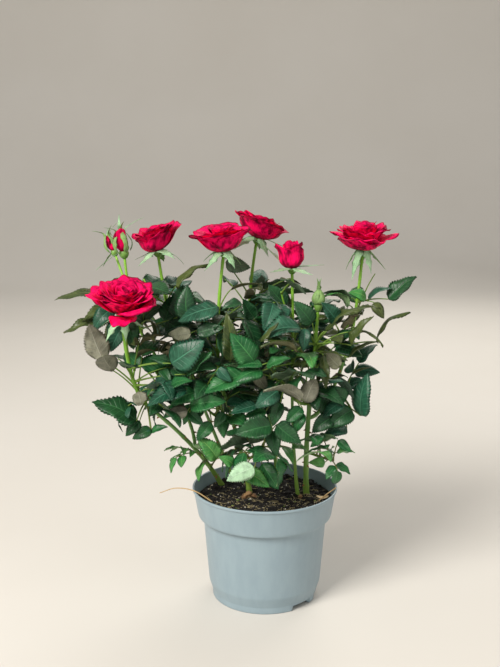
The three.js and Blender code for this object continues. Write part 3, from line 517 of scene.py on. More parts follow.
def makeSoil(soil):
    random = np.random.default_rng(soil["seed"])
    peat, tree, shader = newMaterial("moistPeat", {"Roughness": 0.9})
    wet, dry = (linear(colour) for colour in soil["peat"])
    damp = rangeOf(tree, noiseOf(tree, 5, 8.0, 0.7), 0.3, 0.75)
    tree.links.new(mixOf(tree, damp, wet, dry), shader.inputs["Base Color"])
    bumpOf(tree, shader, noiseOf(tree, 1.2, 8.0, 0.75), 0.8)
    fibre = mottledMaterial("driedRootFibre", 0.7, 3, "#c6b88e", "#8a7c52")
    perlite = mottledMaterial("puffedPerlite", 0.85, 1.5, "#e4e0d6", "#b9b2a4")
    green = mottledMaterial("mossScraps", 0.7, 2, "#7e9a3c", "#4a5f22")

    radius = soil["wallRadius"] * np.linspace(0, 1, soil["rings"] + 1)[1:]
    angle = tau * np.arange(soil["sides"]) / soil["sides"]
    x, y = radius[:, None] * np.cos(angle), radius[:, None] * np.sin(angle)
    rough = 0.55 * np.sin(x * 1.9 + 2 * np.sin(y * 1.3)) * np.cos(y * 2.3 + np.sin(x * 1.7))
    rough = rough + random.normal(0, 0.22, x.shape)
    level = np.clip((soil["wallRadius"] - radius) / soil["wallGap"], 0, 1)[:, None]
    z = soil["top"] + (soilRise(x, y) + rough) * level - soil["wallDrop"] * (1 - level)
    bottom = soil["top"] - soil["depth"]
    under = np.stack([x[-1] * 0.96, y[-1] * 0.96, np.full_like(x[-1], bottom)], -1)
    rings = np.concatenate([np.stack([x, y, z], -1), under[None]])[::-1]
    bed = closedRings(rings, bottom, soil["top"] + soilRise(0, 0))
    makePiece("peatBed", [bed], [peat], ["soil"])

    crumbs = soil["crumbs"]
    places = scattered(crumbs, random)
    sizes = random.gamma(2.2, 0.45, crumbs["count"]).clip(*crumbs["sizes"])  # many fine, few coarse
    makePiece("peatCrumbs", [lumps(places, sizes, random)], [peat], ["soil"])

    fibres = soil["fibres"]
    places = scattered(fibres, random)
    front = random.uniform(0, 1, fibres["count"]) < fibres["front"]  # most of the fibre lies at the front
    places[front, 1] = -np.abs(places[front, 1])
    places = onSoil(places[:, 0], places[:, 1], fibres["lift"])
    lengths = random.uniform(*fibres["lengths"], fibres["count"])
    headings = random.uniform(0, tau, fibres["count"])
    strips = bentStrips(places, lengths, headings, fibres["radius"], random)
    makePiece("rootFibres", [strips], [fibre], [])

    for name, key, material, flatten in (("perliteGrains", "perlite", perlite, 0.75),
                                         ("mossBits", "greens", green, 0.4)):
        grains = soil[key]
        places = scattered(grains, random)
        sizes = random.uniform(*grains["sizes"], grains["count"])
        makePiece(name, [lumps(places, sizes, random, flatten)], [material], [])


makeSoil(soil)
print("stage: soil")


# The plant's skeleton. Limbs, shoots and most of their first sprays repeat the source's named sizes.

limbs = [  # a cane stands in the soil at its root, and a branch leaves its cane at a share of it
    {"name": "cane_left", "root": (-36, 30), "tip": (-92, -28, 169), "bow": (12, 0, 0), "radii": (2.5, 1.7)},
    {"name": "cane_left_back", "root": (-25, 37), "tip": (-71, 25, 203), "bow": (0, 4, 0), "radii": (2, 1.4)},
    {"name": "cane_centre", "root": (-12, 8), "tip": (-33, -10, 174), "bow": (4, -6, 0), "radii": (2.4, 1.8)},
    {"name": "cane_back", "root": (12, 37), "tip": (-10, 28, 203), "bow": (6, 0, 0), "radii": (2.0, 1.5)},
    {"name": "cane_right", "root": (35, 7), "tip": (37, -18, 188), "bow": (-4, -9, 0), "radii": (2.8, 2.1)},
    {"name": "cane_right_thin", "root": (28, 3), "tip": (22, -6, 197), "bow": (-4, -4, 0),
     "radii": (1.8, 1.4)},
    {"name": "branch_left", "on": "cane_left", "at": 0.5, "tip": (-100, 8, 220), "radii": (1.8, 1.4)},
    {"name": "branch_right", "on": "cane_right", "at": 0.7, "tip": (66, 0, 207), "radii": (2.0, 1.6)},
]


def spray(at, tip, size, leaflets, roll, nod, arch):
    # a leaf spray aimed at a place: where it leaves its shoot, its tip, the end leaflet's length,
    # the number of leaflets, how it is rolled and nods, and how high its stalk arches
    return {"at": at, "tip": tip, "size": size, "leaflets": leaflets, "roll": roll, "nod": nod, "arch": arch}


masses = [
    {
        "name": "rose_shoot_left_front", "on": "cane_left", "at": 1, "tip": (-109, -44, 240),
        "flower": {"kind": "openRose", "axis": (-0.08, -0.34, 0.93), "size": 1.04},
        "radii": (1.8, 1.5), "reach": 60, "seed": 29, "grown": 3, "facing": 100, "leafSize": 26,
        "sprays": [
            spray(0.2, (-137, -52, 229), 27, 3, -50, -20, 4),
            spray(0.04, (-136, -33, 174), 38, 3, 30, 20, 4),
            spray(0.1, (-112, -44, 153), 15, 5, 20, 50, 8),
            spray(0.25, (-102, -52, 180), 20, 1, -20, 60, 4),
        ],
    },
    {
        "name": "bud_shoot_left", "on": "branch_left", "at": 1, "tip": (-113, 8, 284),
        "flower": {"kind": "smallBud", "axis": (-0.15, -0.1, 1), "size": 1.12},
        "side": {"from": 0.6, "tip": (-122, 20, 284),
                 "flower": {"kind": "smallBud", "axis": (-0.4, 0.1, 1), "size": 0.85}},
        "radii": (1.4, 1.1), "reach": 60, "seed": 54, "grown": 5, "facing": 90, "leafSize": 28,
        "sprays": [
            spray(0.2, (-171, 10, 248), 38, 3, -18, 25, 6),
            spray(0.08, (-160, -14, 226), 32, 3, -30, 18, 6),
            spray(0.1, (-66, -6, 263), 27, 3, 90, -35, 0),
        ],
    },
    {
        "name": "rose_shoot_left_back", "on": "cane_left_back", "at": 1, "tip": (-87, 18, 284),
        "flower": {"kind": "cupRose", "axis": (-0.12, -0.05, 1), "size": 1.0},
        "radii": (1.5, 1.3), "reach": 58, "seed": 65, "grown": 9, "facing": 60, "leafSize": 29,
        "sprays": [
            spray(0.3, (-46, 16, 276), 34, 3, -10, -10, 4),
        ],
    },
    {
        "name": "rose_shoot_centre", "on": "cane_centre", "at": 1, "tip": (-33, -10, 287),
        "flower": {"kind": "openRose", "axis": (-0.12, -0.1, 1), "size": 0.98},
        "radii": (1.9, 1.3), "reach": 62, "seed": 56, "grown": 9, "facing": 100, "leafSize": 30,
        "sprays": [
            spray(0.03, (-89, -34, 176), 33, 5, 20, 20, 5),
            spray(0.22, (-77, -36, 207), 32, 5, 25, 22, 5),
            spray(0.4, (-80, -16, 228), 27, 5, 10, 15, 5),
            spray(0.56, (-10, -46, 207), 36, 5, -12, 48, 10),
            spray(0.7, (-3, -22, 266), 26, 3, -20, 20, 4),
        ],
    },
    {
        "name": "rose_shoot_back", "on": "cane_back", "at": 1, "tip": (-7, 25, 294),
        "flower": {"kind": "cupRose", "axis": (0.05, 0.1, 1), "size": 1.0},
        "radii": (1.5, 1.3), "reach": 60, "seed": 59, "grown": 8, "facing": 70, "leafSize": 29,
        "sprays": [
            spray(0.45, (42, 16, 254), 34, 5, -20, 12, 6),
        ],
    },
    {
        "name": "bud_shoot_centre", "on": "cane_right_thin", "at": 1, "tip": (21, -5, 273),
        "flower": {"kind": "halfOpenBud", "axis": (0, 0, 1), "size": 1.0},
        "radii": (1.4, 1.2), "reach": 58, "seed": 57, "grown": 6, "facing": 60, "leafSize": 28,
        "sprays": [
            spray(0.5, (38, 8, 228), 27, 1, 65, 20, 4),
        ],
    },
    {
        "name": "bud_shoot_right", "on": "cane_right", "at": 1, "tip": (41, -18, 245),
        "flower": {"kind": "closedBud", "axis": (0.02, 0, 1), "size": 1.0},
        "radii": (2.2, 1.2), "reach": 60, "seed": 58, "grown": 4, "facing": 20, "leafSize": 28,
        "sprays": [
            spray(0.04, (-2, -48, 180), 38, 3, 30, 12, 5),
            spray(0.3, (46, -46, 188), 26, 5, 10, 50, 10),
            spray(0.5, (54, -34, 214), 22, 3, 0, 30, 5),
        ],
    },
    {
        "name": "rose_shoot_right", "on": "branch_right", "at": 1, "tip": (77, 0, 287),
        "flower": {"kind": "openRose", "axis": (0.1, -0.05, 1), "size": 1.04},
        "radii": (1.6, 1.3), "reach": 62, "seed": 18, "grown": 4, "facing": 90, "leafSize": 26,
        "sprays": [
            spray(0.4, (121, 8, 270), 30, 7, 30, 15, 6),
            spray(0.5, (47, -10, 257), 24, 3, 10, 5, 4),
            spray(0.1, (113, -4, 243), 36, 3, 0, -15, 2),
        ],
    },
    {
        "name": "leaves_right", "on": "branch_right", "at": 0.45, "tip": (66, -12, 180),
        "radii": (1.3, 1.0), "reach": 52, "seed": 21, "grown": 3, "facing": 40, "leafSize": 24,
        "sprays": [
            spray(0.5, (79, -31, 197), 36, 1, 75, -40, 2),
            spray(0.8, (90, 4, 214), 22, 5, 10, 8, 3),
        ],
    },
    {
        "name": "leaves_low_right", "on": "cane_right", "at": 0.42, "tip": (54, -26, 124),
        "radii": (1.2, 0.9), "reach": 40, "seed": 22, "grown": 2, "facing": 60, "leafSize": 20,
        "sprays": [
            spray(0.9, (72, -22, 130), 15, 3, 10, 15, 3),
            spray(0.95, (55, -34, 107), 15, 3, 0, 55, 3),
            spray(0.4, (47, -42, 142), 16, 3, 0, 10, 4),
        ],
    },
    {
        "name": "leaves_low_centre", "on": "cane_centre", "at": 0.42, "tip": (-2, -36, 140),
        "radii": (1.5, 1.1), "reach": 48, "seed": 23, "grown": 1, "facing": -80, "leafSize": 25,
        "sprays": [
            spray(0.55, (-28, -60, 157), 30, 3, 20, 15, 5),
            spray(0.95, (29, -50, 146), 26, 3, -10, 10, 5),
            spray(0.3, (-32, -50, 118), 24, 3, 40, 45, 8),
            spray(0.8, (8, -58, 113), 24, 3, -20, 62, 12),
            spray(0.6, (-18, -58, 116), 24, 3, 20, 60, 10),
        ],
    },
    {
        "name": "leaves_low_left", "on": "cane_left", "at": 0.3, "tip": (-52, -14, 126),
        "radii": (1.2, 0.9), "reach": 42, "seed": 24, "grown": 1, "facing": 180, "leafSize": 18,
        "sprays": [
            spray(0.8, (-81, -26, 133), 13, 5, 10, 20, 5),
            spray(0.9, (-56, -34, 140), 18, 3, 10, 5, 3),
            spray(1, (-76, -30, 115), 13, 3, 0, 45, 4),
        ],
    },
    {
        "name": "leaves_mid_left", "on": "branch_left", "at": 0.55, "tip": (-88, -16, 196),
        "radii": (1.3, 1.0), "reach": 48, "seed": 61, "grown": 9, "facing": -60, "leafSize": 26,
        "sprays": [],
    },
    {
        "name": "leaves_mid_front", "on": "cane_centre", "at": 0.8, "tip": (-52, -36, 176),
        "radii": (1.3, 1.0), "reach": 46, "seed": 72, "grown": 10, "facing": -90, "leafSize": 26,
        "sprays": [],
    },
    {
        "name": "leaves_mid_right", "on": "cane_right", "at": 0.82, "tip": (14, -38, 190),
        "radii": (1.3, 1.0), "reach": 46, "seed": 63, "grown": 10, "facing": -110, "leafSize": 26,
        "sprays": [],
    },
    {
        "name": "leaves_back_left", "on": "cane_left_back", "at": 0.6, "tip": (-66, 48, 188),
        "radii": (1.4, 1.0), "reach": 56, "seed": 31, "grown": 8, "facing": 125, "leafSize": 29,
        "sprays": [spray(0.7, (-80, 104, 200), 28, 5, 0, 15, 6)],
    },
    {
        "name": "leaves_back_centre", "on": "cane_back", "at": 0.45, "tip": (-2, 56, 176),
        "radii": (1.4, 1.0), "reach": 56, "seed": 32, "grown": 8, "facing": 95, "leafSize": 29,
        "sprays": [spray(0.7, (-8, 108, 196), 28, 5, 0, 15, 6)],
    },
    {
        "name": "leaves_back_right", "on": "cane_back", "at": 0.75, "tip": (36, 42, 206),
        "radii": (1.4, 1.0), "reach": 56, "seed": 33, "grown": 8, "facing": 50, "leafSize": 28,
        "sprays": [spray(0.9, (60, 94, 218), 28, 5, 0, 15, 6)],
    },
]

openPlaces = [  # x, z and radius, seen from the front, where the rule grows no leaves of its own
    (-158, 274, 22), (-128, 184, 15), (-102, 186, 8), (110, 232, 19), (113, 200, 22),
    (84, 150, 18), (-8, 286, 16), (52, 282, 20), (-60, 294, 16), (108, 290, 18), (-138, 236, 6),
    (-44, 100, 12), (8, 108, 14), (54, 98, 12),
]
skyPlaces = [  # x, z and radius in the plane y = 0: where the camera sees through the plant's edge
    (-100, 277, 8), (-45, 260, 9), (-23, 255, 6), (4, 274, 6), (16, 277, 6),
    (32, 269, 5), (86, 267, 8), (94, 274, 4), (105, 250, 5), (78, 232, 5), (77, 215, 4),
    (-91, 281, 6), (-87, 272, 5), (-76, 276, 4), (101, 248, 5), (99, 267, 6),
    (-144, 204, 5), (-134, 195, 4), (-137, 180, 7), (-122, 171, 4), (-106, 179, 5), (42, 115, 6),
]

growth = {  # the source's rule, in millimetres and degrees, or as shares of a length
    # stems: the gap to their bough, how deep canes stand and flare, their bend and their steps
    "gap": 0.3, "footDepth": 3, "flareLength": 7, "flareShare": 0.4,
    "stemBend": 0.3, "stemStep": 19, "limbStep": 13, "leastSteps": 3,
    # leaflets and their stalk: the pairs stand behind the end leaflet by pairBacks of its length
    "width": 0.7, "widest": 0.47, "archOfLeaf": 0.1, "stalkStep": 0.12, "stagger": 0.02,
    "pairBacks": (0.42, 1.02, 1.55), "pairSizes": (0.9, 0.8, 0.68), "firstPair": 0.16,
    "spread": (50, 66), "dip": (0.25, 0.55), "pairLength": (0.92, 1.08), "lean": (-15, 15),
    "stalkRadii": (1.15, 0.9),
    # sprays that the rule grows: what is drawn for each, and where on the stem they may stand
    "turnRange": 300, "sway": (-15, 15), "pitch": (8, 42), "roll": (-25, 25), "nod": (12, 42),
    "endSize": (0.85, 1.15), "reach": (0.7, 1.3), "arch": 6, "sevenShare": 0.25,
    "leafyFrom": 0.25, "flowerLeafyTo": 0.55,
    # what is kept clear, and the places on a leaf and a stalk that are tried
    "potHeight": 94, "rimRadius": 60, "potClear": 3, "twigClear": 1.2,
    "flowerBall": (0.6, 0.8), "sepalBall": (5, 11),
    "leafSpots": (  # shares of half its width, its length and its arch
        (0, 0.25, 0.5), (0, 0.5, 1), (0, 0.88, 0), (-0.65, 0.48, 1), (0.65, 0.48, 1),
    ),
    "stalkSpots": (0.4, 0.6, 0.8, 1),
}
# A rule: how clear leaves and stalks stay of the rest, the share of a spray that has to find
# room, whether it may use the open places, and whether it has to stay inside the solids' box
aimedRule = {"leafClear": 1.7, "twigClear": 1.2, "least": 0.6, "open": True, "inside": False}
grownRule = {**aimedRule, "open": False}
finer = {  # what the scene adds by the same rule: short twigs and smaller sprays between the first
    "rule": {"leafClear": 0.75, "twigClear": 0.7, "least": 0.34, "open": False, "inside": True},
    "stemSprays": 16, "from": 0.06, "ahead": 61, "size": (0.6, 1.0), "reach": (0.35, 1.2),
    "pitch": (-22, 48), "roll": (-35, 35), "nod": (5, 50), "arch": 5, "fiveShare": 0.7,
    "twigs": 4, "twigSprays": 5, "twigAt": (0.08, 0.62), "twigReach": (18, 36), "twigPitch": (5, 55),
    "twigTurn": 1.3, "twigSag": 0.4, "twigStep": 12, "twigRadii": (0.85, 0.6),
    "twigTests": (0.35, 0.55, 0.75, 1), "twigClear": 0.8, "twigFrom": 0.2, "twigSpot": 1.0,
    "sparse": {  # sprays and twigs of the masses that stay thin
        "leaves_low_left": (1, 0), "leaves_low_centre": (4, 0), "leaves_low_right": (2, 0),
        "leaves_right": (4, 0), "rose_shoot_right": (5, 1), "rose_shoot_left_front": (6, 1),
        "bud_shoot_left": (8, 2), "bud_shoot_right": (10, 2),
    },
}
shownRule = {"leafClear": 0.3, "open": True, "inside": True}
shownShifts = (0, -2, 2, -5, 5)  # millimetres along Y, tried in turn
shownArch = 3
facing = {  # where a shown leaf's upper side looks
    "front": (0, -1, 0.5), "sky": (0, -0.2, 1), "back": (0, 1, -0.35), "away": (0, 0.5, 0.85),
    "tilted": (0, -0.6, 1), "side": (-0.9, -0.35, 0.2),
}
shownLeaves = [  # leaves that the view shows plainly: shoot, place on it, root, tip, facing, kind
    ("leaves_low_centre", 1, (-9, -66, 132), (-30, -71, 123), "back", "mintBack"),
    ("leaves_low_centre", 0.9, (-18, -48, 124), (3, -54, 112), "front", "youngGreen"),
    ("leaves_low_centre", 0.9, (-3, -40, 126), (10, -46, 107), "front", "midGreen"),
    ("leaves_low_centre", 0.75, (-38, -40, 130), (-53, -44, 149), "front", "youngGreen"),
    ("leaves_low_centre", 0.9, (-25, -48, 128), (-36, -52, 136), "front", "youngGreen"),
    ("rose_shoot_left_front", 0.1, (-100, -44, 162), (-133, -50, 179), "tilted", "deepGreen"),
    ("rose_shoot_left_front", 0.05, (-98, -40, 161), (-109, -44, 150), "front", "deepGreen"),
    ("rose_shoot_left_front", 0.05, (-90, -40, 155), (-100, -42, 151), "front", "blueGreen"),
    ("rose_shoot_left_front", 0.05, (-89, -40, 152), (-76, -42, 157), "tilted", "midGreen"),
    ("rose_shoot_left_front", 0.4, (-125, -42, 210), (-134, -46, 239), "back", "brownBack"),
    ("rose_shoot_left_front", 0.3, (-118, -42, 202), (-121, -64, 219), "back", "brownBack"),
    ("rose_shoot_left_front", 0.25, (-99, -38, 184), (-96, -56, 177), "back", "brownBack"),
    ("bud_shoot_left", 0.55, (-120, -20, 246), (-134, -26, 230), "front", "blueGreen"),
    ("bud_shoot_left", 0.4, (-112, -26, 239), (-122, -30, 220), "front", "blueGreen"),
    ("bud_shoot_left", 0.35, (-108, -24, 236), (-103, -28, 215), "front", "deepGreen"),
    ("leaves_mid_front", 0.75, (-42, -42, 160), (-54, -46, 147), "front", "midGreen"),
    ("leaves_right", 0.75, (68, -30, 167), (49, -36, 154), "front", "deepGreen"),
    ("leaves_mid_right", 0.05, (52, -34, 162), (36, -38, 151), "front", "deepGreen"),
    ("leaves_mid_right", 0.65, (28, -44, 169), (22, -48, 153), "front", "midGreen"),
    ("rose_shoot_left_front", 0.6, (-110, -28, 236), (-121, -32, 214), "front", "blueGreen"),
    ("rose_shoot_centre", 0.6, (-60, -38, 240), (-60, -34, 267), "front", "deepGreen"),
    ("rose_shoot_centre", 0.6, (-36, -46, 252), (-67, -50, 243), "tilted", "blueGreen"),
    ("rose_shoot_centre", 0.6, (-18, -44, 253), (-34, -48, 250), "tilted", "deepGreen"),
    ("rose_shoot_centre", 0.6, (-52, -50, 233), (-32, -56, 238), "front", "deepGreen"),
    ("rose_shoot_centre", 0.6, (-57, -48, 232), (-74, -52, 232), "back", "greyBack"),
    ("rose_shoot_left_front", 0.6, (-72, -54, 210), (-46, -60, 229), "front", "blueGreen"),
    ("rose_shoot_left_front", 0.6, (-72, -44, 209), (-89, -48, 214), "tilted", "deepGreen"),
    ("rose_shoot_left_front", 0.45, (-61, -52, 201), (-41, -58, 220), "tilted", "midGreen"),
    ("leaves_mid_front", 1, (-37, -56, 205), (-53, -62, 204), "tilted", "deepGreen"),
    ("leaves_mid_front", 1, (-36, -62, 208), (-26, -66, 199), "front", "blueGreen"),
    ("rose_shoot_centre", 0.45, (-27, -56, 212), (-30, -58, 250), "front", "willowGreen"),
    ("rose_shoot_centre", 0.45, (-9, -58, 212), (-26, -64, 235), "front", "midGreen"),
    ("bud_shoot_right", 0.45, (-3, -58, 210), (-22, -64, 210), "tilted", "midGreen"),
    ("leaves_mid_front", 1, (-16, -56, 202), (-47, -64, 191), "tilted", "midGreen"),
    ("bud_shoot_right", 0.35, (-3, -60, 206), (-25, -66, 197), "tilted", "midGreen"),
    ("leaves_mid_right", 1, (-8, -46, 201), (1, -50, 188), "back", "greyBack"),
    ("leaves_mid_front", 1, (-58, -54, 177), (-30, -60, 182), "front", "midGreen"),
    ("leaves_mid_front", 1, (-53, -54, 188), (-72, -60, 180), "front", "midGreen"),
    ("rose_shoot_left_front", 0.4, (-60, -56, 191), (-90, -62, 181), "tilted", "blueGreen"),
    ("leaves_mid_front", 1, (-73, -56, 192), (-56, -62, 200), "tilted", "midGreen"),
    ("rose_shoot_left_front", 0.3, (-84, -38, 186), (-69, -42, 200), "tilted", "blueGreen"),
    ("leaves_mid_front", 0.95, (-30, -48, 178), (-14, -52, 177), "tilted", "blueGreen"),
    ("leaves_mid_right", 1, (-7, -56, 178), (-27, -62, 173), "tilted", "blueGreen"),
    ("leaves_mid_right", 1, (9, -54, 189), (-9, -60, 177), "front", "blueGreen"),
    ("leaves_mid_front", 1, (-60, -50, 172), (-77, -54, 171), "back", "brownBack"),
    ("leaves_mid_front", 1, (-59, -44, 169), (-48, -48, 160), "front", "deepGreen"),
    ("leaves_mid_front", 0.8, (-32, -44, 169), (-40, -48, 158), "front", "deepGreen"),
    ("leaves_low_centre", 1, (4, -56, 162), (-24, -62, 157), "front", "deepGreen"),
    ("leaves_mid_right", 0.95, (11, -48, 178), (5, -52, 160), "front", "deepGreen"),
    ("leaves_low_centre", 1, (8, -50, 161), (27, -56, 148), "front", "deepGreen"),
    ("leaves_low_centre", 1, (4, -50, 156), (8, -58, 138), "front", "deepGreen"),
    ("bud_shoot_right", 0.6, (26, -50, 236), (-4, -56, 228), "tilted", "blueGreen"),
    ("bud_shoot_right", 0.6, (-4, -58, 228), (8, -60, 243), "side", "willowGreen"),
    ("bud_shoot_right", 0.6, (23, -60, 222), (-5, -66, 227), "away", "willowGreen"),
    ("leaves_mid_right", 1, (0, -56, 208), (18, -60, 216), "tilted", "midGreen"),
    ("bud_shoot_right", 0.6, (29, -50, 236), (28, -54, 219), "front", "blueGreen"),
    ("bud_shoot_right", 0.4, (56, -44, 205), (45, -48, 217), "back", "greyBack"),
    ("bud_shoot_right", 0.6, (36, -28, 236), (22, -32, 254), "front", "deepGreen"),
    ("bud_shoot_right", 0.6, (56, -22, 236), (43, -26, 252), "front", "blueGreen"),
    ("rose_shoot_right", 0.35, (67, -24, 228), (53, -28, 217), "tilted", "deepGreen"),
    ("rose_shoot_right", 0.6, (68, 0, 251), (45, -6, 257), "away", "deepGreen"),
    ("bud_shoot_centre", 0.6, (16, -10, 247), (2, -14, 264), "front", "deepGreen"),
    ("rose_shoot_centre", 0.6, (-9, -20, 239), (-18, -26, 255), "front", "deepGreen"),
    ("leaves_right", 0.9, (63, -32, 176), (47, -36, 188), "front", "deepGreen"),
    ("leaves_right", 0.8, (61, -32, 174), (44, -38, 164), "tilted", "blueGreen"),
    ("leaves_right", 0.7, (69, -24, 164), (48, -30, 153), "tilted", "deepGreen"),
    ("leaves_mid_right", 0.7, (28, -46, 173), (15, -50, 161), "front", "midGreen"),
    ("leaves_mid_right", 1, (27, -62, 184), (-2, -68, 195), "away", "brownBack"),
    ("leaves_mid_right", 0.85, (30, -52, 179), (38, -56, 199), "back", "brownBack"),
    ("bud_shoot_right", 0.6, (46, -24, 229), (86, -28, 252), "sky", "willowGreen"),
    ("bud_shoot_right", 0.6, (65, -40, 221), (81, -44, 245), "side", "willowGreen"),
    ("bud_shoot_right", 0.5, (64, -34, 210), (85, -38, 224), "sky", "willowGreen"),
    ("leaves_right", 1, (68, -18, 192), (83, -20, 200), "sky", "willowGreen"),
    ("rose_shoot_right", 0.6, (82, -2, 249), (100, -6, 261), "sky", "blueGreen"),
    ("rose_shoot_right", 0.6, (80, -6, 252), (66, -12, 258), "front", "youngGreen"),
    ("rose_shoot_right", 0.6, (98, -4, 251), (118, -4, 271), "tilted", "deepGreen"),
    ("rose_shoot_right", 0.6, (86, -8, 249), (94, -12, 237), "front", "oliveGreen"),
    ("rose_shoot_left_back", 0.6, (-71, -10, 262), (-46, 0, 280), "sky", "willowGreen"),
    ("rose_shoot_back", 0.6, (-32, 10, 279), (-12, 12, 274), "back", "deepGreen"),
    ("leaves_low_right", 1, (58, -26, 141), (68, -32, 133), "front", "midGreen"),
    ("leaves_mid_right", 1, (0, -50, 172), (-17, -54, 169), "tilted", "midGreen"),
    ("leaves_right", 0.4, (65, -24, 151), (46, -28, 147), "tilted", "blueGreen"),
    ("rose_shoot_left_front", 0.05, (-89, -40, 154), (-104, -42, 147), "front", "deepGreen"),
    ("leaves_low_right", 0.95, (44, -34, 147), (35, -40, 140), "front", "midGreen"),
    ("leaves_low_right", 1, (48, -24, 122), (35, -30, 124), "front", "youngGreen"),
]
told = {  # the leaf kind of an aimed spray, by its shoot and its number there
    ("rose_shoot_left_front", 0): "brownBack", ("rose_shoot_left_front", 1): "blueGreen",
    ("rose_shoot_left_front", 2): "blueGreen", ("bud_shoot_left", 0): "willowGreen",
    ("bud_shoot_left", 1): "willowGreen", ("bud_shoot_left", 2): "deepGreen",
    ("rose_shoot_right", 0): "midGreen", ("rose_shoot_right", 2): "willowGreen",
    ("leaves_right", 0): "blueGreen", ("leaves_low_left", 0): "youngGreen",
    ("leaves_low_left", 1): "youngGreen", ("leaves_low_left", 2): "youngGreen",
    ("rose_shoot_left_back", 0): "willowGreen",
    ("leaves_low_right", 0): "youngGreen", ("leaves_low_right", 1): "midGreen",
}
flowerSizes = {"openRose": (25, 25), "cupRose": (20, 25), "halfOpenBud": (10.5, 21), "closedBud": (4.6, 24),
               "smallBud": (4.8, 18)}  # widest radius and core height, as in the source


def unit(v):
    return v / max(float(np.sqrt(v @ v)), 1e-12)


def crossDirections(heading, upward):
    # side = heading x upward, rise = side x heading
    side = np.cross(heading, upward)
    if side @ side < 1e-4:
        side = np.cross(xAxis, heading)
    side = unit(side)
    return side, unit(np.cross(side, heading))


def turned(v, axis, degrees):
    # v turned about a unit axis: v cos + (axis x v) sin + axis (axis . v)(1 - cos)
    c, s = math.cos(math.radians(degrees)), math.sin(math.radians(degrees))
    return v * c + np.cross(axis, v) * s + axis * (axis @ v) * (1 - c)


def curvePoint(limb, t):
    # (1 - t)^2 root + 2t(1 - t) middle + t^2 tip
    t = np.asarray(t, float)[..., None]
    root, middle, tip = limb["curve"]
    return (1 - t) ** 2 * root + 2 * t * (1 - t) * middle + t * t * tip


def curveHeading(limb, t):
    return unit(curvePoint(limb, min(t + 1e-4, 1.0)) - curvePoint(limb, max(t - 1e-4, 0.0)))


def follow(limb, root, middle, tip, least, step):
    # lays a limb along a curve, in straight steps of about the length given
    limb["curve"] = (root, middle, tip)
    line = curvePoint(limb, np.linspace(0, 1, 201))
    limb["length"] = float(np.linalg.norm(np.diff(line, axis=0), axis=1).sum())
    limb["steps"] = max(least, math.floor(limb["length"] / step + 0.5))
    return limb


def pointOn(limb, t):
    step = min(math.floor(t * limb["steps"]), limb["steps"] - 1)
    start = curvePoint(limb, step / limb["steps"])
    end = curvePoint(limb, (step + 1) / limb["steps"])
    return start + (end - start) * (t * limb["steps"] - step), unit(end - start)


def radiusAt(limb, t):
    foot, end = limb["radii"]
    flare = 0
    if limb.get("flare"):
        flare = growth["flareShare"] * np.exp(-t * limb["length"] / growth["flareLength"])
    return (foot + (end - foot) * t) * (1 + flare)


def seeded(seed):
    # the source's numbers: state = 1664525 state + 1013904223, in 32 bits, over 2^32
    state = (seed * 7919 + 17) & 0xFFFFFFFF

    def draw():
        nonlocal state
        state = (state * 1664525 + 1013904223) & 0xFFFFFFFF
        return state / 4294967296
    return draw


def between(limits, draw):
    return limits[0] + (limits[1] - limits[0]) * draw()


limbNamed = {}


def placeStem(stem, host, at, least, step):
    # past the host's flat tip, or beside it, a gap clear of it
    tip = np.array(stem["tip"], float)
    centre, heading = curvePoint(host, at), curveHeading(host, at)
    if at == 1:
        root, away = centre + heading * growth["gap"], heading
    else:
        away = tip - centre
        away = unit(away - heading * (away @ heading))
        root = centre + away * (radiusAt(host, at) + growth["gap"])
    middle = root + away * growth["stemBend"] * np.linalg.norm(tip - root)
    follow(stem, root, middle, tip, least, step)


def placeLimbs():
    for limb in limbs:
        if "on" in limb:
            placeStem(limb, limbNamed[limb["on"]], limb["at"], growth["leastSteps"], growth["limbStep"])
        else:
            x, y = limb["root"]
            limb["flare"] = True
            root = np.array([x, y, soil["top"] + soilRise(x, y) - growth["footDepth"]])
            tip = np.array(limb["tip"], float)
            follow(limb, root, (root + tip) / 2 + np.array(limb["bow"], float), tip,
                   growth["leastSteps"], growth["limbStep"])
        limbNamed[limb["name"]] = limb
    for mass in masses:
        placeStem(mass, limbNamed[mass["on"]], mass["at"], growth["leastSteps"], growth["stemStep"])
        mass["middle"] = curvePoint(mass, 0.5)
        mass["reach"] += mass["length"] / 2


room = {  # what leaves and twigs keep clear of: balls with their shoot's number, lines and triangles
    "spots": np.zeros((60000, 4)), "owners": np.zeros(60000, int), "spotCount": 0,
    "bars": np.zeros((30000, 2, 3)), "barCount": 0, "panels": np.zeros((12000, 3, 3)), "panelCount": 0,
}
noShoot = 1000  # the number of a ball that no shoot may enter: a limb's or a bloom's
nobody = -1


def addSpots(centres, radii, owner):
    n = room["spotCount"]
    room["spots"][n:n + len(centres), :3] = centres
    room["spots"][n:n + len(centres), 3] = radii
    room["owners"][n:n + len(centres)] = owner
    room["spotCount"] = n + len(centres)


def addBars(limb, steps, radius):
    place = np.array([curvePoint(limb, i / steps) for i in range(steps + 1)])
    frames = [crossDirections(curveHeading(limb, i / steps), yAxis) for i in range(steps + 1)]
    side, rise = np.array([f[0] for f in frames]), np.array([f[1] for f in frames])
    for across, over in ((0, 0), (1, 0), (0, 1), (-1, 0), (0, -1)) if radius else ((0, 0),):
        line = place + radius * (across * side + over * rise)
        n = room["barCount"]
        room["bars"][n:n + steps] = np.stack([line[:-1], line[1:]], 1)
        room["barCount"] = n + steps


def markLimb(limb, owner):
    steps = math.ceil(limb["length"] / 4)  # a ball for every 4 mm
    t = np.arange(steps + 1) / steps
    addSpots(curvePoint(limb, t), radiusAt(limb, t) + growth["twigClear"], owner)
    addBars(limb, 6, limb["radii"][0])


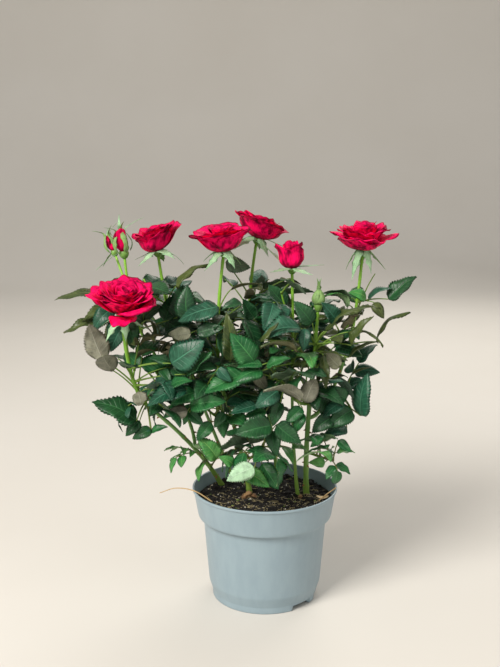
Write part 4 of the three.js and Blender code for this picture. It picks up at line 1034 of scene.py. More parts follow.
def markFlower(base, flower):
    axis = unit(np.array(flower["axis"], float))
    widest, height = (size * flower["size"] for size in flowerSizes[flower["kind"]])
    place, share = growth["flowerBall"]
    below, radius = growth["sepalBall"]
    addSpots(np.array([base + axis * height * place]), widest * share, noShoot)
    addSpots(np.array([base - axis * below]), radius, noShoot)


def crossings(starts, ends, corners):
    # whether any bar crosses any three-cornered panel: start + t way = a + u ab + v ac
    a, b, c = corners[None, :, 0], corners[None, :, 1], corners[None, :, 2]
    way = (ends - starts)[:, None]
    ab, ac = b - a, c - a
    p = np.cross(way, ac)
    facing = (ab * p).sum(-1)
    safe = np.where(np.abs(facing) < 1e-9, np.inf, facing)
    start = starts[:, None] - a
    u = (start * p).sum(-1) / safe
    q = np.cross(start, np.broadcast_to(ab, start.shape))
    v = (way * q).sum(-1) / safe
    t = (ac * q).sum(-1) / safe
    hit = (u >= 0) & (v >= 0) & (u + v <= 1) & (t >= 0) & (t <= 1) & (np.abs(facing) >= 1e-9)
    return bool(hit.any())


def isFree(points, clearance, mass, spared=nobody):
    # inside the shoot's reach, off the pot, and clear of all balls but those of the spared shoot
    overPot = (points[:, 2] < growth["potHeight"] + growth["potClear"]) \
        & (np.hypot(points[:, 0], points[:, 1]) < growth["rimRadius"] + growth["potClear"])
    if overPot.any() or (np.linalg.norm(points - mass["middle"], axis=1) > mass["reach"]).any():
        return False
    spots = room["spots"][:room["spotCount"]]
    others = room["owners"][:room["spotCount"]] != spared
    away = np.linalg.norm(points[:, None] - spots[None, :, :3], axis=-1)
    return not ((away <= spots[:, 3] + clearance) & others).any()


def leafFrame(root, heading, upward, length):
    side, rise = crossDirections(heading, upward)
    return {"root": root, "heading": heading, "side": side, "rise": rise, "length": length}


def leafPoint(leaf, across, share, lift=0.0):
    ahead = leaf["heading"] * share * leaf["length"]
    return leaf["root"] + ahead + leaf["side"] * across + leaf["rise"] * lift


def leafSpots(leaf):
    half = growth["width"] * leaf["length"] / 2
    arch = growth["archOfLeaf"] * leaf["length"]
    return np.array([leafPoint(leaf, across * half, share, lift * arch)
                     for across, share, lift in growth["leafSpots"]])


def leafPanels(leaf):
    half = growth["width"] * leaf["length"] / 2
    arch = growth["archOfLeaf"] * leaf["length"]
    left = leafPoint(leaf, -half, growth["widest"], arch)
    right = leafPoint(leaf, half, growth["widest"], arch)
    tip = leafPoint(leaf, 0, 1)
    return np.array([[leaf["root"], left, right], [left, tip, right]])


def leafIsFree(leaf, mass, rule):
    places = leafSpots(leaf)
    if not isFree(places, rule["leafClear"], mass):
        return False
    discs = np.array(openPlaces, float)
    away = np.hypot(places[:, None, 0] - discs[:, 0], places[:, None, 2] - discs[:, 1])
    if not rule["open"] and (away < discs[:, 2]).any():
        return False
    tip = leafPoint(leaf, 0, 1)
    if rule["inside"] and ((tip < solidsBox[0]).any() or (tip > solidsBox[1]).any()):
        return False
    own = leafPanels(leaf)
    root, left, right = own[0]
    tip = own[1][1]
    starts = np.array([root, left, tip, right, left])
    ends = np.array([left, tip, right, root, right])
    bars = room["bars"][:room["barCount"]]
    return not crossings(starts, ends, room["panels"][:room["panelCount"]]) \
        and not crossings(bars[:, 0], bars[:, 1], own)


sprays = []


def growSpray(stem, mass, aimed, draw, rule, kind=None):
    # the source's spray: a stalk from the stem, an end leaflet and pairs behind it
    foot = pointOn(stem, aimed["at"])[0]
    tip = np.array(aimed["tip"], float)
    aim = unit(tip - foot)
    level, above = crossDirections(aim, zAxis)
    endHeading = turned(aim, level, -aimed["nod"])
    end = tip - endHeading * aimed["size"]
    middle = (foot + end) / 2 + zAxis * aimed["arch"]
    stalk = follow({"radii": growth["stalkRadii"]}, foot, middle, end, 2, math.inf)
    stalkSpots = np.array([pointOn(stalk, t)[0] for t in growth["stalkSpots"]])
    bend = curvePoint(stalk, 0.5)
    if crossings(np.array([foot, bend]), np.array([bend, end]), room["panels"][:room["panelCount"]]):
        return
    if not isFree(stalkSpots, rule["twigClear"], mass, mass["owner"]):
        return
    upward = turned(above, aim, aimed["roll"])
    leaves = [leafFrame(end, endHeading, upward, aimed["size"])]
    for pair in range((aimed["leaflets"] - 1) // 2):
        place = 1 - growth["pairBacks"][pair] * aimed["size"] / stalk["length"]
        if place < growth["firstPair"]:
            break
        for hand in (-1, 1):
            point, heading = pointOn(stalk, place + hand * growth["stagger"])
            side, rise = crossDirections(heading, upward)
            spread = math.radians(between(growth["spread"], draw))
            dip = between(growth["dip"], draw)
            length = aimed["size"] * growth["pairSizes"][pair] * between(growth["pairLength"], draw)
            lean = between(growth["lean"], draw)
            out = unit(heading * math.cos(spread) + side * hand * math.sin(spread) - rise * dip)
            leaves.append(leafFrame(point + out * growth["stalkStep"], out, turned(rise, out, lean), length))
    grown = [leaf for leaf in leaves if leafIsFree(leaf, mass, rule)]
    if not grown or grown[0] is not leaves[0] or len(grown) < rule["least"] * len(leaves):
        return
    addSpots(stalkSpots, rule["twigClear"], mass["owner"])
    keepSpray(mass, stalk, upward, grown, rule, kind)


def keepSpray(mass, stalk, upward, leaves, rule, kind):
    for leaf in leaves:
        addSpots(leafSpots(leaf), rule["leafClear"], mass["owner"])
        n = room["panelCount"]
        room["panels"][n:n + 2] = leafPanels(leaf)
        room["panelCount"] = n + 2
    addBars(stalk, 2, 0)
    sprays.append({"mass": mass["name"], "curve": stalk["curve"], "upward": upward, "leaves": leaves,
                   "size": leaves[0]["length"], "kind": kind, "shown": rule is shownRule})


def showLeaf(mass, at, root, tip, faces, kind):
    # one leaf on a stalk of its own, moved a little forward or back where its place is taken
    foot = pointOn(mass, at)[0]
    for shift in shownShifts:
        start = np.array(root, float) + yAxis * shift
        end = np.array(tip, float) + yAxis * shift
        length = np.linalg.norm(end - start)
        leaf = leafFrame(start, unit(end - start), np.array(facing[faces], float), length)
        if leafIsFree(leaf, mass, shownRule):
            middle = (foot + start) / 2 + zAxis * shownArch
            stalk = follow({"radii": growth["stalkRadii"]}, foot, middle, start, 2, math.inf)
            keepSpray(mass, stalk, leaf["rise"], [leaf], shownRule, kind)
            return True
    return False


def pointing(azimuth, pitch):
    level = math.cos(pitch)
    return np.array([math.cos(azimuth) * level, math.sin(azimuth) * level, math.sin(pitch)])


def grownSpray(stem, mass, order, draw):
    # the source's own: sprays turn round the stem by the golden angle as they climb it
    share = (order + draw()) / mass["grown"]
    at = growth["leafyFrom"] + (1 - growth["leafyFrom"]) * share
    if "flower" in mass:
        at = growth["flowerLeafyTo"] * share
    swing = ((order * goldenAngle) % growth["turnRange"]) - growth["turnRange"] / 2
    azimuth = math.radians(mass["facing"] + swing + between(growth["sway"], draw))
    pitch = math.radians(between(growth["pitch"], draw))
    size = mass["leafSize"] * between(growth["endSize"], draw)
    length = size + mass["leafSize"] * between(growth["reach"], draw)
    tip = pointOn(stem, at)[0] + pointing(azimuth, pitch) * length
    leaflets = 7 if draw() < growth["sevenShare"] else 5
    roll = between(growth["roll"], draw)
    nod = between(growth["nod"], draw)
    return spray(at, tip, size, leaflets, roll, nod, growth["arch"])


def finerSpray(stem, mass, order, count, top, draw):
    # one more, smaller and all round the stem or twig
    at = finer["from"] + (top - finer["from"]) * (order + draw()) / count
    turn = mass["facing"] + finer["ahead"] + order * goldenAngle
    azimuth = math.radians(turn + between(growth["sway"], draw))
    pitch = math.radians(between(finer["pitch"], draw))
    size = mass["leafSize"] * between(finer["size"], draw)
    length = size + mass["leafSize"] * between(finer["reach"], draw)
    tip = pointOn(stem, at)[0] + pointing(azimuth, pitch) * length
    leaflets = 5 if draw() < finer["fiveShare"] else 3
    roll = between(finer["roll"], draw)
    nod = between(finer["nod"], draw)
    return spray(at, tip, size, leaflets, roll, nod, finer["arch"])


twigs = []


def growTwig(mass, order, draw):
    # a short side twig of a shoot, which carries sprays of its own
    at = between(finer["twigAt"], draw)
    foot = pointOn(mass, at)[0]
    turn = mass["facing"] + order * goldenAngle * finer["twigTurn"]
    azimuth = math.radians(turn + between(growth["sway"], draw))
    pitch = math.radians(between(finer["twigPitch"], draw))
    direction = pointing(azimuth, pitch)
    tip = foot + direction * between(finer["twigReach"], draw)
    middle = foot + unit(direction - zAxis * finer["twigSag"]) * 0.5 * np.linalg.norm(tip - foot)
    twig = follow({"radii": finer["twigRadii"]}, foot, middle, tip, growth["leastSteps"], finer["twigStep"])
    tests = curvePoint(twig, np.array(finer["twigTests"]))
    if not isFree(tests, finer["twigClear"], mass, mass["owner"]):
        return
    start = foot[None] * (1 - finer["twigFrom"]) + tip[None] * finer["twigFrom"]
    if crossings(start, tip[None], room["panels"][:room["panelCount"]]):
        return
    addSpots(curvePoint(twig, np.linspace(finer["twigFrom"], 1, 8)), finer["twigSpot"], mass["owner"])
    addBars(twig, 4, 0)
    twigs.append(twig)
    for each in range(finer["twigSprays"]):
        aimed = finerSpray(twig, mass, each, finer["twigSprays"], 1.0, draw)
        growSpray(twig, mass, aimed, draw, finer["rule"])


def seenInSky(leaf):
    # along the camera's ray to the plane y = 0: eye + (point - eye) (0 - eye y) / (point y - eye y)
    eye = np.array(view["place"])
    places = leafSpots(leaf)
    places = eye + (places - eye) * (-eye[1] / (places[:, 1:2] - eye[1]))
    discs = np.array(skyPlaces, float)
    away = np.hypot(places[:, None, 0] - discs[:, 0], places[:, None, 2] - discs[:, 1])
    return bool((away < discs[:, 2]).any())


def openSky():
    for each in sprays:
        if not each["shown"]:
            each["leaves"] = [leaf for leaf in each["leaves"] if not seenInSky(leaf)]
    sprays[:] = [each for each in sprays if each["leaves"]]


def growPlant():
    # the order is the source's, then the shown leaves, and the finer growth in what room is left
    placeLimbs()
    for limb in limbs:
        markLimb(limb, noShoot)
    for number, mass in enumerate(masses):
        mass["owner"] = number
        mass["draw"] = seeded(mass["seed"])
        markLimb(mass, number)
        if "flower" in mass:
            markFlower(np.array(mass["tip"], float), mass["flower"])
        if "side" in mass:
            markFlower(np.array(mass["side"]["tip"], float), mass["side"]["flower"])
    for mass in masses:
        for number, aimed in enumerate(mass["sprays"]):
            growSpray(mass, mass, aimed, mass["draw"], aimedRule, told.get((mass["name"], number)))
    for mass in masses:
        for order in range(mass["grown"]):
            growSpray(mass, mass, grownSpray(mass, mass, order, mass["draw"]), mass["draw"], grownRule)
    first = sum(len(each["leaves"]) for each in sprays)
    named = {mass["name"]: mass for mass in masses}
    shown = sum(showLeaf(named[name], *leaf) for name, *leaf in shownLeaves)
    for mass in masses:
        for order in range(finer["sparse"].get(mass["name"], (0, finer["twigs"]))[1]):
            growTwig(mass, order, mass["draw"])
    for mass in masses:
        top = growth["flowerLeafyTo"] if "flower" in mass else 1.0
        count = finer["sparse"].get(mass["name"], (finer["stemSprays"], 0))[0]
        for order in range(count):
            aimed = finerSpray(mass, mass, order, count, top, mass["draw"])
            growSpray(mass, mass, aimed, mass["draw"], finer["rule"])
    openSky()
    total = sum(len(each["leaves"]) for each in sprays)
    print(f"stage: {first} first leaflets, {shown} shown, {total} in all, {len(twigs)} twigs")


growPlant()


# Wood: canes, branches, shoots, twigs and leaf stalks

wood = {
    "caneShare": 0.82,  # of the source's radius, which also stands for bark, thorns and knots
    "shootShare": 0.88,
    "caneSides": 18,
    "caneRows": 46,
    "shootSides": 12,
    "shootRows": 30,
    "stubSides": 20,
    "stubs": [  # the old crown, cut short: foot, top, radius
        ((-12, 1, 79), (-13.5, -3, 88.8), 3.4), ((-13, -1, 79), (-18, -4, 86.9), 2.7),
        ((-11, -1, 79), (-8.5, -4.5, 87.2), 2.3), ((31, -1, 80), (29, -5, 86.8), 1.8),
    ],
    "thorns": {"count": 9, "low": 0.12, "high": 0.95, "length": 2.6, "width": 0.95},
    "bristles": {"count": 90, "low": 0.5, "high": 0.995, "length": 0.85, "width": 0.1},
    "seed": 8,
}


def barkMaterial(name, young, old, height, roughness):
    # rose wood: a thin satin skin, old in colour below the first height in metres and young
    # above the second, faintly ribbed along the cane, with pale corky dots
    material, tree, shader = newMaterial(name, {"Roughness": roughness, "IOR": 1.45})
    place = addNode(tree, "TexCoord", {}, {}).outputs["Object"]
    up = addNode(tree, "SeparateXYZ", {}, {0: place}).outputs[2]
    patch = noiseOf(tree, 14, 4.0, 0.6, (1, 1, 0.4))
    wander = 0.07  # metres that the change of colour runs up and down the wood
    start, end = (level + wander / 2 for level in height)
    grown = rangeOf(tree, mathOf(tree, "MULTIPLY_ADD", patch, wander, up), start, end)
    skin = mixOf(tree, grown, linear(old), linear(young))
    dots = rangeOf(tree, noiseOf(tree, 1.3, 2.0), 0.66, 0.74)
    tree.links.new(mixOf(tree, dots, skin, linear("#9a8f62")), shader.inputs["Base Color"])
    ribs = noiseOf(tree, 1.1, 4.0, 0.6, (1, 1, 0.12))
    bumpOf(tree, shader, ribs, 0.22)
    return material


def spines(roots, outs, ups, lengths, widths):
    # thorns and bristles: a cone of five sides whose point bends down as the square of its length
    t = np.linspace(0, 1, 4)[None, :, None]
    path = roots[:, None] + outs[:, None] * lengths[:, None, None] * t
    path = path - ups[:, None] * lengths[:, None, None] * 0.28 * t * t
    radii = widths[:, None] * (1 - t[0, :, 0]) ** 0.8 + 0.02
    nearlyUp = (0.3, 0.2, 0.93)  # no spine points this way
    return tubes(path, radii, 5, nearlyUp)


def roundLimb(limb, share, rows, sides, random, relief):
    # a limb's tube, its radius swollen a little at each leaf scar and ribbed round its girth; a
    # shoot's foot reaches into the bark of its bough
    t = np.linspace(0, 1, rows)
    path = curvePoint(limb, t)
    if not limb.get("flare"):
        path[0] -= curveHeading(limb, 0.0) * 1.4
    girth = share * radiusAt(limb, t)[:, None] * np.ones(sides)
    angle = tau * np.arange(sides) / sides
    knots = np.zeros(rows)
    for knot in np.arange(0.12, 1, 0.17):  # a scar at each of these shares of the length, roughly
        knots += np.exp(-((t - knot - random.uniform(-0.03, 0.03)) * limb["length"] / 1.6) ** 2)
    ribs = np.sin(3 * angle + 5 * t[:, None] + random.uniform(0, 6)) * 0.03
    girth = girth * (1 + 0.16 * knots[:, None] + relief * (ribs + random.normal(0, 0.012, girth.shape)))
    return tubes(path[None], girth[None], sides)


def armed(limb, share, kind, random):
    # spines stood round a limb, each about a golden angle past the last
    count = kind["count"]
    t = np.sort(random.uniform(kind["low"], kind["high"], count))
    place = curvePoint(limb, t)
    heading = normalised(curvePoint(limb, t + 1e-3) - curvePoint(limb, t - 1e-3))
    side = normalised(np.cross(heading, yAxis))
    rise = np.cross(side, heading)
    angle = (np.arange(count) * 2.4 + random.uniform(0, 6))[:, None]
    out = side * np.cos(angle) + rise * np.sin(angle)
    root = place + out * (radiusAt(limb, t) * share * 0.86)[:, None]  # rooted below the bark
    lengths = random.uniform(0.7, 1.25, count) * kind["length"]
    return spines(root, out, heading, lengths, np.full(count, kind["width"]))


def makeCanes(wood, random):
    cane = barkMaterial("greenRoseWood", "#6d9a4e", "#8cb04c", (0.085, 0.13), 0.45)
    thorn = mottledMaterial("driedThorn", 0.5, 4, "#a9773f", "#6d3f26", 2.0)
    share = wood["caneShare"]
    canes = [roundLimb(limb, share, wood["caneRows"], wood["caneSides"], random, 1.0) for limb in limbs]
    makePiece("canes", canes, [cane], [limb["name"] for limb in limbs])
    thorns = [armed(limb, share, wood["thorns"], random) for limb in limbs]
    makePiece("caneThorns", thorns, [thorn], [])


def sideStem(mass):
    # the short stem of a shoot's second bud
    root = pointOn(mass, mass["side"]["from"])[0]
    tip = np.array(mass["side"]["tip"], float)
    stem = {"radii": (mass["radii"][1], mass["radii"][1] * 0.9)}
    return follow(stem, root, (root + tip) / 2, tip, growth["leastSteps"], growth["stemStep"])


def makeShoots(wood, random):
    shoot = barkMaterial("limeRoseShoot", "#84bb3c", "#64902f", (0.17, 0.25), 0.4)
    bristle = newMaterial("greenBristle", {"Roughness": 0.5, "Base Color": linear("#8fae4e")})[0]
    share = wood["shootShare"]
    stems = [roundLimb(mass, share, wood["shootRows"], wood["shootSides"], random, 0.5) for mass in masses]
    t = np.linspace(0, 1, 10)
    stems += [tubes(curvePoint(twig, t)[None], radiusAt(twig, t)[None], 8) for twig in twigs]
    sides = [sideStem(mass) for mass in masses if "side" in mass]
    stems += [tubes(curvePoint(stem, t)[None], radiusAt(stem, t)[None], 10) for stem in sides]
    makePiece("shootStems", stems, [shoot], [])
    flowering = [mass for mass in masses if "flower" in mass]
    hairs = [armed(mass, share, wood["bristles"], random) for mass in flowering]
    makePiece("stemBristles", hairs, [bristle], [])


def makeStalks():
    # leaf stalks: thin, from the stem to the end leaflet's root, thicker at the foot and for
    # larger leaves
    stalk = barkMaterial("oliveLeafStalk", "#6c8c36", "#6f7440", (0.12, 0.2), 0.5)
    t = np.linspace(0, 1, 9)
    path = np.stack([curvePoint(each, t) for each in sprays])
    thick = np.array([0.5 + 0.22 * each["size"] / 30 for each in sprays])[:, None]
    radii = thick * (1 - 0.4 * t) * (1 + 0.9 * np.exp(-t * 14))
    upward = np.array([each["upward"] for each in sprays])
    makePiece("leafStalks", [tubes(path, radii, 7, upward)], [stalk], [])


def makeStubs(wood, random):
    # the crown's stubs: short, knobbly and split, with a slightly rounded cut
    stub = barkMaterial("palePithyCrown", "#a5825a", "#5c402a", (0.08, 0.09), 0.8)
    sides = wood["stubSides"]
    t = np.linspace(0, 1, 22)
    dome = np.sqrt(np.clip(1 - np.clip((t - 0.9) / 0.1, 0, 1) ** 3, 0.02, 1))
    knobs = []
    for foot, top, radius in wood["stubs"]:
        path = np.outer(1 - t, foot) + np.outer(t, top)
        split = random.uniform(0.6, 1.15, (1, sides)) * random.uniform(0.8, 1.16, (len(t), sides))
        girth = radius * (1.2 - 0.3 * t + 0.16 * np.sin(t * 9 + radius * 5))[:, None] * dome[:, None] * split
        knobs.append(tubes(path[None], girth[None], sides))
    makePiece("crownStubs", knobs, [stub], [])


def makeWood(wood):
    random = np.random.default_rng(wood["seed"])
    makeCanes(wood, random)
    makeShoots(wood, random)
    makeStalks()
    makeStubs(wood, random)


makeWood(wood)
print("stage: wood")


# Leaves: thin blades with a waxy skin above, so they are a glossy deep green with paler veins
# pressed in, and matt and greyer below, with the veins standing out

def leafKind(top, vein, under, share, wide):
    # upper, vein and under colour, the share of all sprays, and the width against the source's
    return {"top": top, "vein": vein, "under": under, "share": share, "wide": wide}


leafKinds = {  # the last three are leaves whose underside the view shows
    "deepGreen": leafKind("#103d21", "#3c7544", "#506a4c", 0.46, 0.88),
    "blueGreen": leafKind("#12432f", "#468266", "#4b6a56", 0.18, 0.9),
    "midGreen": leafKind("#175a2d", "#4c9252", "#5c8352", 0.18, 0.86),
    "oliveGreen": leafKind("#3c4a24", "#6f7a3e", "#6b6644", 0.08, 0.8),
    "willowGreen": leafKind("#344520", "#69763a", "#605f3c", 0.06, 0.48),
    "youngGreen": leafKind("#3f8a42", "#84bb66", "#8bb078", 0.04, 0.84),
    "greyBack": leafKind("#595c46", "#7a7c62", "#696b54", 0.0, 0.86),
    "brownBack": leafKind("#7d7f68", "#959a84", "#7c7b69", 0.0, 0.9),
    "mintBack": leafKind("#5f9a48", "#9fc486", "#b2dab2", 0.0, 0.95),
}
lowTints = {"deepGreen": 0.5, "blueGreen": 0.3, "midGreen": 1.5, "willowGreen": 0, "youngGreen": 9}
rightTints = {"deepGreen": 0.7, "blueGreen": 0.5, "oliveGreen": 3, "willowGreen": 5, "youngGreen": 1.5}
leafTints = {  # how many times its usual share a kind has on these shoots
    "leaves_low_left": lowTints, "leaves_low_centre": lowTints, "leaves_low_right": lowTints,
    "leaves_right": rightTints, "rose_shoot_right": rightTints,
    "bud_shoot_right": {"oliveGreen": 2, "willowGreen": 4},
}
leafShape = {  # two numbers are a middle value and how far a leaf may be drawn off it
    "rows": 31,
    "columns": 9,
    "thickness": 0.34,
    "widthSpread": 0.1,
    "tooth": 0.12,  # of the half width
    "fold": (13, 15),  # degrees that each half is folded up
    "arch": (0.9, 0.9),  # of the source's arch
    "waves": 2.2,  # along the margin
    # shares of the length
    "wave": 0.022,
    "toothLean": 0.028,  # towards the tip
    "lag": 0.05,  # of the margin behind the midrib
    "droop": (0.05, 0.05),
    "curl": (0.03, 0.05),
    "bend": 0.05,
    "seed": 21,  # of the random draws
}


def leafMaterial(name, colour, vein, roughness, relief):
    # veins follow the blade: a midrib, and side veins that lean towards the tip; relief is how
    # far they stand out, and below 0 they are pressed in
    settings = {"Roughness": roughness, "IOR": 1.46, "Specular IOR Level": 0.42}
    material, tree, shader = newMaterial(name, settings)
    place = addNode(tree, "SeparateXYZ", {}, {0: surfaceOf(tree)})
    across = mathOf(tree, "ABSOLUTE", mathOf(tree, "MULTIPLY_ADD", place.outputs[0], 2.0, -1.0))
    slanted = mathOf(tree, "MULTIPLY_ADD", across, -0.2, place.outputs[1])
    wave = mathOf(tree, "PINGPONG", shareOf(tree, 8.5, slanted), 0.5)  # 8.5 side veins on each side
    sideVein = rangeOf(tree, wave, 0.1, 0.0)
    midrib = rangeOf(tree, across, 0.085, 0.03)
    veins = mathOf(tree, "MAXIMUM", midrib, shareOf(tree, 0.65, sideVein))
    patch = rangeOf(tree, noiseOf(tree, 22, 3.0), 0.32, 0.68)
    blade = mixOf(tree, shareOf(tree, 0.4, patch), linear(colour), linear(vein))
    # painted shade: random noise patches about 5 mm across darken the blade by up to 0.45 towards near-black
    # green, standing in for the shade between leaves
    shade = rangeOf(tree, noiseOf(tree, 5, 3.0), 0.35, 0.75, 0.45)
    blade = mixOf(tree, shade, blade, linear("#081d0c"))
    blade = mixOf(tree, shareOf(tree, 0.75, veins), blade, linear(vein))
    tree.links.new(blade, shader.inputs["Base Color"])
    pores = shareOf(tree, 0.35, noiseOf(tree, 1.1, 3.0))
    bumpOf(tree, shader, mathOf(tree, "MULTIPLY_ADD", veins, relief, pores), 0.3)
    return material


def leafGrids(leaves, wide, random):
    # each blade: half width = u^0.55 (1 - u)^0.95 scaled, times v across; every second row is a
    # tooth; the blade folds up along its midrib, arches along it, waves at its edge and bends
    # a little sideways
    count = len(leaves)
    u = np.linspace(0, 1, leafShape["rows"]) ** 0.94
    v = np.linspace(-1, 1, leafShape["columns"])
    v = np.sign(v) * np.abs(v) ** 1.15
    profile = u ** 0.55 * (1 - u) ** 0.95
    profile = np.maximum(profile / profile.max(), 0.03)
    tooth = (np.arange(len(u)) % 2) * (profile > 0.1)
    margin = np.abs(v[None]) ** 3
    half = profile[:, None] * (1 + leafShape["tooth"] * tooth[:, None] * margin)
    draw = random.uniform(-1, 1, (9, count, 1, 1))

    def drawn(key, number):
        middle, spread = leafShape[key]
        return middle + spread * draw[number]
    length = np.array([leaf["length"] for leaf in leaves])[:, None, None]
    width = growth["width"] * wide[:, None, None] * length * (1.0 + leafShape["widthSpread"] * draw[0]) / 2
    ahead = u[None, :, None] + leafShape["toothLean"] * (tooth[:, None] * margin)[None]
    ahead = ahead - leafShape["lag"] * profile[None, :, None] * v[None, None] ** 2
    across = width * half[None] * v[None, None]
    u, v = u[None, :, None], v[None, None]
    fold = np.radians(drawn("fold", 1))
    arch = growth["archOfLeaf"] * np.sin(np.pi * u) * drawn("arch", 2)
    droop = -drawn("droop", 3) * u ** 3
    wave = leafShape["wave"] * np.sin(tau * (leafShape["waves"] * u + draw[4])) * v ** 2 * (1 + draw[5])
    curl = -drawn("curl", 6) * np.abs(v) ** 3
    bend = leafShape["bend"] * draw[7] * 4 * u * (1 - u)
    up = length * (arch + droop + wave + curl) + np.abs(across) * np.sin(fold)
    sideways = across * np.cos(fold) + length * bend
    root, heading, side, rise = (np.array([leaf[key] for leaf in leaves])[:, None, None]
                                 for key in ("root", "heading", "side", "rise"))
    return (root + heading * (length * ahead)[..., None] + side * sideways[..., None]
            + rise * up[..., None])


def paler(hexColour):
    # a quarter of the way to white, for the veins of an underside
    channel = [int(hexColour[i:i + 2], 16) for i in (1, 3, 5)]
    return "#" + "".join(f"{value + (255 - value) // 4:02x}" for value in channel)


def makeLeaves():
    random = np.random.default_rng(leafShape["seed"])
    kindNames = list(leafKinds)
    tops = [leafMaterial(name + "WaxyLeaf", kind["top"], kind["vein"], 0.38, -1.0)
            for name, kind in leafKinds.items()]
    unders = [leafMaterial(name + "LeafUnderside", kind["under"], paler(kind["under"]), 0.62, 1.0)
              for name, kind in leafKinds.items()]
    wide = np.array([kind["wide"] for kind in leafKinds.values()])
    for mass in masses:
        tints = leafTints.get(mass["name"], {})
        weights = np.array([kind["share"] * tints.get(name, 1) for name, kind in leafKinds.items()])
        leaves, kinds = [], []
        for each in sprays:
            if each["mass"] == mass["name"]:
                kind = random.choice(len(leafKinds), p=weights / weights.sum())
                if each["kind"]:
                    kind = kindNames.index(each["kind"])
                leaves += each["leaves"]
                kinds += [kind] * len(each["leaves"])
        kinds = np.array(kinds)
        grids = leafGrids(leaves, wide[kinds], random)
        blades = sheets(grids, leafShape["thickness"], kinds, kinds + len(leafKinds))
        makePiece(mass["name"] + "_leaves", [blades], tops + unders, [mass["name"]])


makeLeaves()
print("stage: leaves")


# Flowers. Petals are soft and velvety: a deep crimson that glows where it faces the light, with maroon
# painted shade for the shadows in their folds and at their roots. Sepals are leafy, green outside and pale
# mint inside.

flowerKinds = {
    # petals from the heart outwards: [first, last] of each size, in millimetres and degrees
    "openRose": {
        "petals": 44, "length": (16, 28.5), "width": (7, 16), "lean": (4, 58), "open": (-10, 46),
        "curl": (0, 46), "ring": (0.7, 3.2), "seat": (7.5, 6.0), "ruffle": 1.8, "growth": 0.85,
        "hip": 4.4, "hipHeight": 6.5, "sepalPitch": (-62, -38), "sepalLength": 19,
        "hanging": {"turn": -98, "lean": 62, "open": 82, "curl": 24, "length": 22, "width": 10.5},
    },
    "ruffledRose": {
        "petals": 32, "length": (15, 27.5), "width": (7, 17), "lean": (4, 80), "open": (-8, 46),
        "curl": (0, 54), "ring": (0.7, 3.2), "seat": (7.0, 3.2), "ruffle": 1.5, "growth": 0.9,
        "hip": 4.2, "hipHeight": 6.5, "sepalPitch": (-66, -40), "sepalLength": 24,
    },
    "bowlRose": {
        "petals": 27, "length": (16, 27.5), "width": (8, 18), "lean": (4, 78), "open": (-8, 24),
        "curl": (0, 60), "ring": (0.7, 3.0), "seat": (7.0, 3.2), "ruffle": 1.1, "growth": 0.95,
        "hip": 4.4, "hipHeight": 7.0, "sepalPitch": (-64, -26), "sepalLength": 19,
    },
    "cupRose": {
        "petals": 24, "length": (16, 25), "width": (7, 16.5), "lean": (4, 66), "open": (-8, 20),
        "curl": (0, 58), "ring": (0.7, 2.8), "seat": (7.0, 3.2), "ruffle": 0.8, "growth": 1.0,
        "hip": 4.2, "hipHeight": 6.5, "sepalPitch": (-66, -16), "sepalLength": 20,
    },
    "halfOpenBud": {
        "petals": 14, "length": (17, 24), "width": (8, 14), "lean": (3, 58), "open": (-8, -6),
        "curl": (0, 34), "ring": (0.6, 2.3), "seat": (6.0, 3.0), "ruffle": 0.4, "growth": 1.2,
        "hip": 3.8, "hipHeight": 5.5, "sepalPitch": (48, 0, 6, -14, -8), "sepalLength": 21, "point": 0.16,
    },
    "smallBud": {
        "petals": 8, "length": (13, 17.5), "width": (5, 7.5), "lean": (3, 34), "open": (-9, -9),
        "curl": (0, 6), "ring": (0.4, 1.6), "seat": (4.5, 3.0), "ruffle": 0.15, "growth": 1.0,
        "hip": 3.6, "hipHeight": 4.5, "sepalLength": 26,
        "wrap": {"half": 1.5, "swell": 6.4, "flare": 15, "close": 1.35}, "sepalTaper": 0.8, "fallen": -24,
    },
    "closedBud": {
        "petals": 3, "length": (8, 9), "width": (3, 3.5), "lean": (2, 8), "open": (-9, -9),
        "curl": (0, 0), "ring": (0.3, 1.0), "seat": (4.5, 3.0), "ruffle": 0.1, "growth": 1.0,
        "hip": 3.4, "hipHeight": 6.0, "sepalLength": 23,
        "wrap": {"half": 4.1, "swell": 4.9, "flare": 2.6, "close": 1.6},
    },
}
flowerLooks = {  # each bloom by its shoot: form, how wide and tall, axis (None: the source's), and
    # how far it falls to the left
    "rose_shoot_left_front": ("openRose", 1.03, 1.0, (0.13, -0.27, 0.95), 0),
    "rose_shoot_left_back": ("cupRose", 1.18, 0.93, (-0.13, -0.05, 1), 0.2),
    "rose_shoot_centre": ("bowlRose", 1.16, 0.9, (-0.05, -0.1, 1), 0.05),
    "rose_shoot_back": ("cupRose", 1.36, 0.84, (0.2, 0.1, 1), -0.2),
    "rose_shoot_right": ("ruffledRose", 1.0, 0.95, (0.0, -0.05, 1), 0),
    "bud_shoot_centre": ("halfOpenBud", 1.3, 0.88, (0, 0, 1), 0),
    "bud_shoot_right": ("closedBud", 0.95, 1.0, (0.02, 0, 1), 0),
    "bud_shoot_left": ("smallBud", 1.06, 0.95, None, 0),
}
petalShape = {
    "rows": 13,
    "columns": 15,
    "thickness": 0.32,
    "sepalThickness": 0.3,
    "seed": 31,
    "spread": {"lean": 5, "open": 8, "curl": 12, "length": 1.3, "width": 0.8},  # off the bloom's own
}


def smooth(x):
    x = np.clip(x, 0, 1)
    return x * x * (3 - 2 * x)


def placed(across, over, height, base, frame, form):
    # from the bloom's own axis to the bush, by how wide and tall the bloom is; one flank of a
    # bloom that has fallen open hangs lower: height + fall x across, and across is to the left
    axis, side, rise = frame
    size, wide, tall, fall = form
    height = height - fall * across
    level = wide * (across[..., None] * side + over[..., None] * rise)
    return base + size * (level + tall * height[..., None] * axis)


